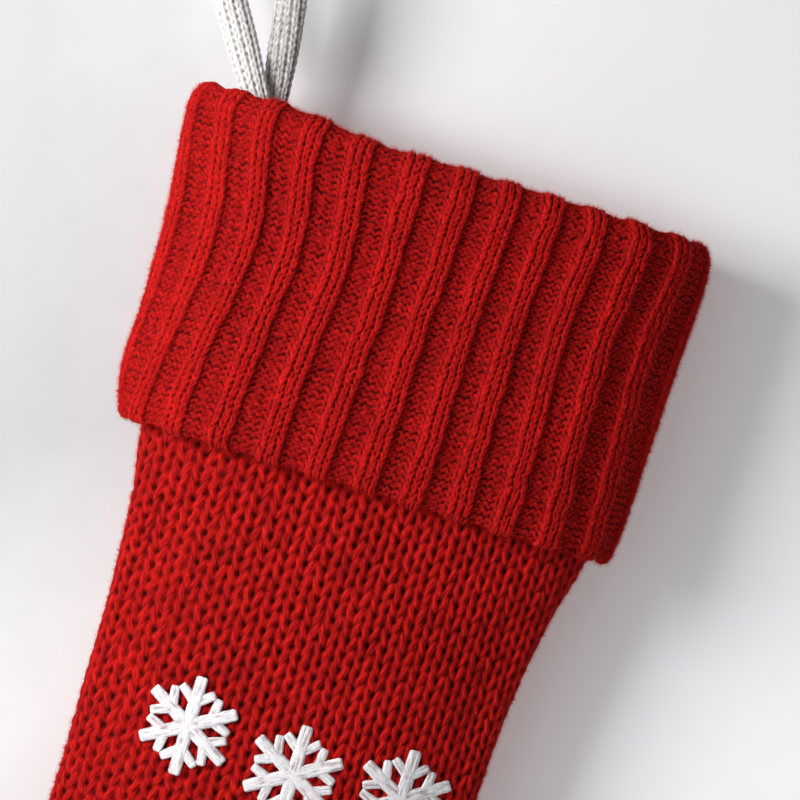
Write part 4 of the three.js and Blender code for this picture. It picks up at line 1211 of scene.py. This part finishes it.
def thread_bundle(name, lines, r, mat, body, slot, nodes, to_world, cols=8):
    Vs, Qs, Ts, base = [], [], [], 0
    for P in lines:
        T = np.gradient(P, axis=0)
        T /= np.linalg.norm(T, axis=1, keepdims=True)
        ref = np.array([0.0, 0, 1.0]) if abs(T[0][2]) < 0.8 else np.array([1.0, 0, 0])
        X = np.cross(T, ref); X /= np.linalg.norm(X, axis=1, keepdims=True)
        Y = np.cross(T, X)
        a = np.arange(cols) / cols * 2 * np.pi
        n = len(P)
        e = np.minimum(np.arange(n), np.arange(n)[::-1])
        rr = r * np.sqrt(np.clip(1 - (1 - np.clip(e / 3.0, 0, 1)) ** 2, 0.1, 1))
        V = P[:, None] + (X[:, None] * np.cos(a)[None, :, None] + Y[:, None] * np.sin(a)[None, :, None]) * rr[:, None, None]
        m = cols
        q = grid_quads(n, m, wrap_j=True)
        v = np.vstack([V.reshape(-1, 3), P[0], P[-1]])
        j = np.arange(m)
        t = np.vstack([np.stack([np.full(m, n * m), (j + 1) % m, j], -1), np.stack([np.full(m, n * m + 1), (n - 1) * m + j, (n - 1) * m + (j + 1) % m], -1)])
        q0 = q[len(q) // 2]
        if np.dot(np.cross(v[q0[1]] - v[q0[0]], v[q0[2]] - v[q0[0]]), v[q0[0]] - P[q0[0] // m]) < 0:
            q = q[:, ::-1]
        if np.dot(np.cross(v[t[0][1]] - v[t[0][0]], v[t[0][2]] - v[t[0][0]]), P[0] - P[1]) < 0:
            t = t[:, ::-1]
        Vs.append(v); Qs.append(q + base); Ts.append(t + base)
        base += len(v)
    V = np.vstack(Vs)
    K = V.copy()
    V = world(V[:, 0], V[:, 1], V[:, 2]) if to_world else V / 1000.0
    one = np.full(len(V), 0.7)
    ob = raw_mesh(name, V, np.vstack(Qs), np.vstack(Ts), {"knit": K, "hollow_shade_and_tone": one, "side": np.zeros_like(one), "tone": np.full_like(one, 0.5)})
    return finish_piece(ob, mat, body, slot, *nodes)


thread_bundle("loop_sewing_threads", strands, 0.36, mat_thread, "tack", "cord_thread", ["loop_tack_thread"], False)

bar = []
for k in range(9):
    z0 = -1.3 + 2.6 * k / 8
    a = np.linspace(0, math.pi, 26)
    bar.append(np.stack([PIVOT_U + 0.6 - 2.85 * np.cos(a), 7.95 - 0.85 * np.sin(a), np.full_like(a, PIVOT_H) + z0], -1))
thread_bundle("loop_bar_tack_stitches", bar, 0.19, mat_seam, "stocking", "seam_yarn", ["loop_bar_tack"], True)

# ------------------------------------------------------------------ stage
WALL_Y, FLOOR_Z = 0.030, -0.70


def plane(name, pts):
    me = bpy.data.meshes.new(name)
    me.from_pydata([Vector(p) for p in pts], [], [tuple(range(len(pts)))])
    ob = bpy.data.objects.new(name, me)
    scene.collection.objects.link(ob)
    return ob


wall = plane("backdrop", [(-4, WALL_Y, FLOOR_Z), (4, WALL_Y, FLOOR_Z), (4, WALL_Y, 3), (-4, WALL_Y, 3)])
floor = plane("floor", [(-4, -4, FLOOR_Z), (4, -4, FLOOR_Z), (4, 4, FLOOR_Z), (-4, 4, FLOOR_Z)])


def paint(name, one_sided):
    m, nt, b = new_mat(name)
    tc = nt.nodes.new("ShaderNodeTexCoord")
    n = node(nt, "ShaderNodeTexNoise", {"Vector": tc.outputs["Object"], "Scale": 60.0, "Detail": 6.0}).outputs[0]
    if one_sided:                                                  # painted light: the backdrop is painted darker to the left and paler to the right and lower down, standing in for how the light falls across it
        xyz = node(nt, "ShaderNodeSeparateXYZ", {0: tc.outputs["Object"]})
        gx = node(nt, "ShaderNodeMapRange", {0: xyz.outputs[0], 1: -0.7, 2: 0.28, 3: 0.0, 4: 0.80}, clamp=True).outputs[0]
        gz = node(nt, "ShaderNodeMapRange", {0: xyz.outputs[2], 1: -0.20, 2: -0.34, 3: 0.0, 4: 0.15}, clamp=True).outputs[0]
        g = math_node(nt, "ADD", gx, gz)
        f = math_node(nt, "ADD", g, math_node(nt, "MULTIPLY", math_node(nt, "SUBTRACT", n, 0.5), 0.02), clamp=True)
        nt.links.new(ramp(nt, f, [(0.0, (0.22, 0.22, 0.222)), (0.5, (0.455, 0.456, 0.459)), (0.62, (0.71, 0.712, 0.716)), (0.75, (0.74, 0.742, 0.746)), (0.92, (0.90, 0.902, 0.906))]), b.inputs["Base Color"])
    else:
        nt.links.new(ramp(nt, n, [(0.3, (0.74, 0.74, 0.745)), (0.7, (0.765, 0.765, 0.77))]), b.inputs["Base Color"])
    b.inputs["Roughness"].default_value = 0.9
    b.inputs["Specular IOR Level"].default_value = 0.1
    if one_sided:
        out = next(x for x in nt.nodes if x.type == "OUTPUT_MATERIAL")
        g = nt.nodes.new("ShaderNodeNewGeometry")
        tr = nt.nodes.new("ShaderNodeBsdfTransparent")
        mx = nt.nodes.new("ShaderNodeMixShader")
        nt.links.new(g.outputs["Backfacing"], mx.inputs[0])
        nt.links.new(b.outputs[0], mx.inputs[1])
        nt.links.new(tr.outputs[0], mx.inputs[2])
        nt.links.new(mx.outputs[0], out.inputs[0])
    return m


wall.data.materials.append(paint("wall_paint", True))
floor.data.materials.append(paint("floor_paint", False))

world_ = bpy.data.worlds.new("studio")
world_.use_nodes = True
world_.node_tree.nodes["Background"].inputs[0].default_value = (0.93, 0.95, 1.0, 1)
world_.node_tree.nodes["Background"].inputs[1].default_value = 0.22
scene.world = world_


def area(name, loc, target, size, energy, colour=(1, 1, 1), size_y=None):
    d = bpy.data.lights.new(name, "AREA")
    d.energy, d.color = energy, colour
    d.size = size
    if size_y:
        d.shape = "RECTANGLE"
        d.size_y = size_y
    o = bpy.data.objects.new(name, d)
    o.location = loc
    o.rotation_euler = (Vector(target) - Vector(loc)).to_track_quat("-Z", "Y").to_euler()
    scene.collection.objects.link(o)
    return o


area("key", (-0.46, -0.40, 0.04), (0.03, 0, -0.20), 0.32, 7.0, (1.0, 0.995, 0.99))
area("fill", (-0.9, -1.6, -0.3), (0.03, 0, -0.25), 1.2, 3.0, (0.98, 0.99, 1.0))
area("back_fill", (0.7, 1.7, 1.1), (0.0, 0, -0.35), 1.5, 36.0)
side_light = area("backdrop_light", (0.66, -0.50, -0.22), (0.34, 0.03, -0.22), 0.5, 1.5)
side_light.data.use_shadow = False                               # a wash for the backdrop only
only = bpy.data.collections.new("backdrop_only")
only.objects.link(wall)
side_light.light_linking.receiver_collection = only
wall.visible_shadow = False                                       # the backdrop lets the light behind it reach the back of the object

scene.view_settings.view_transform = "Standard"
scene.view_settings.look = "None"
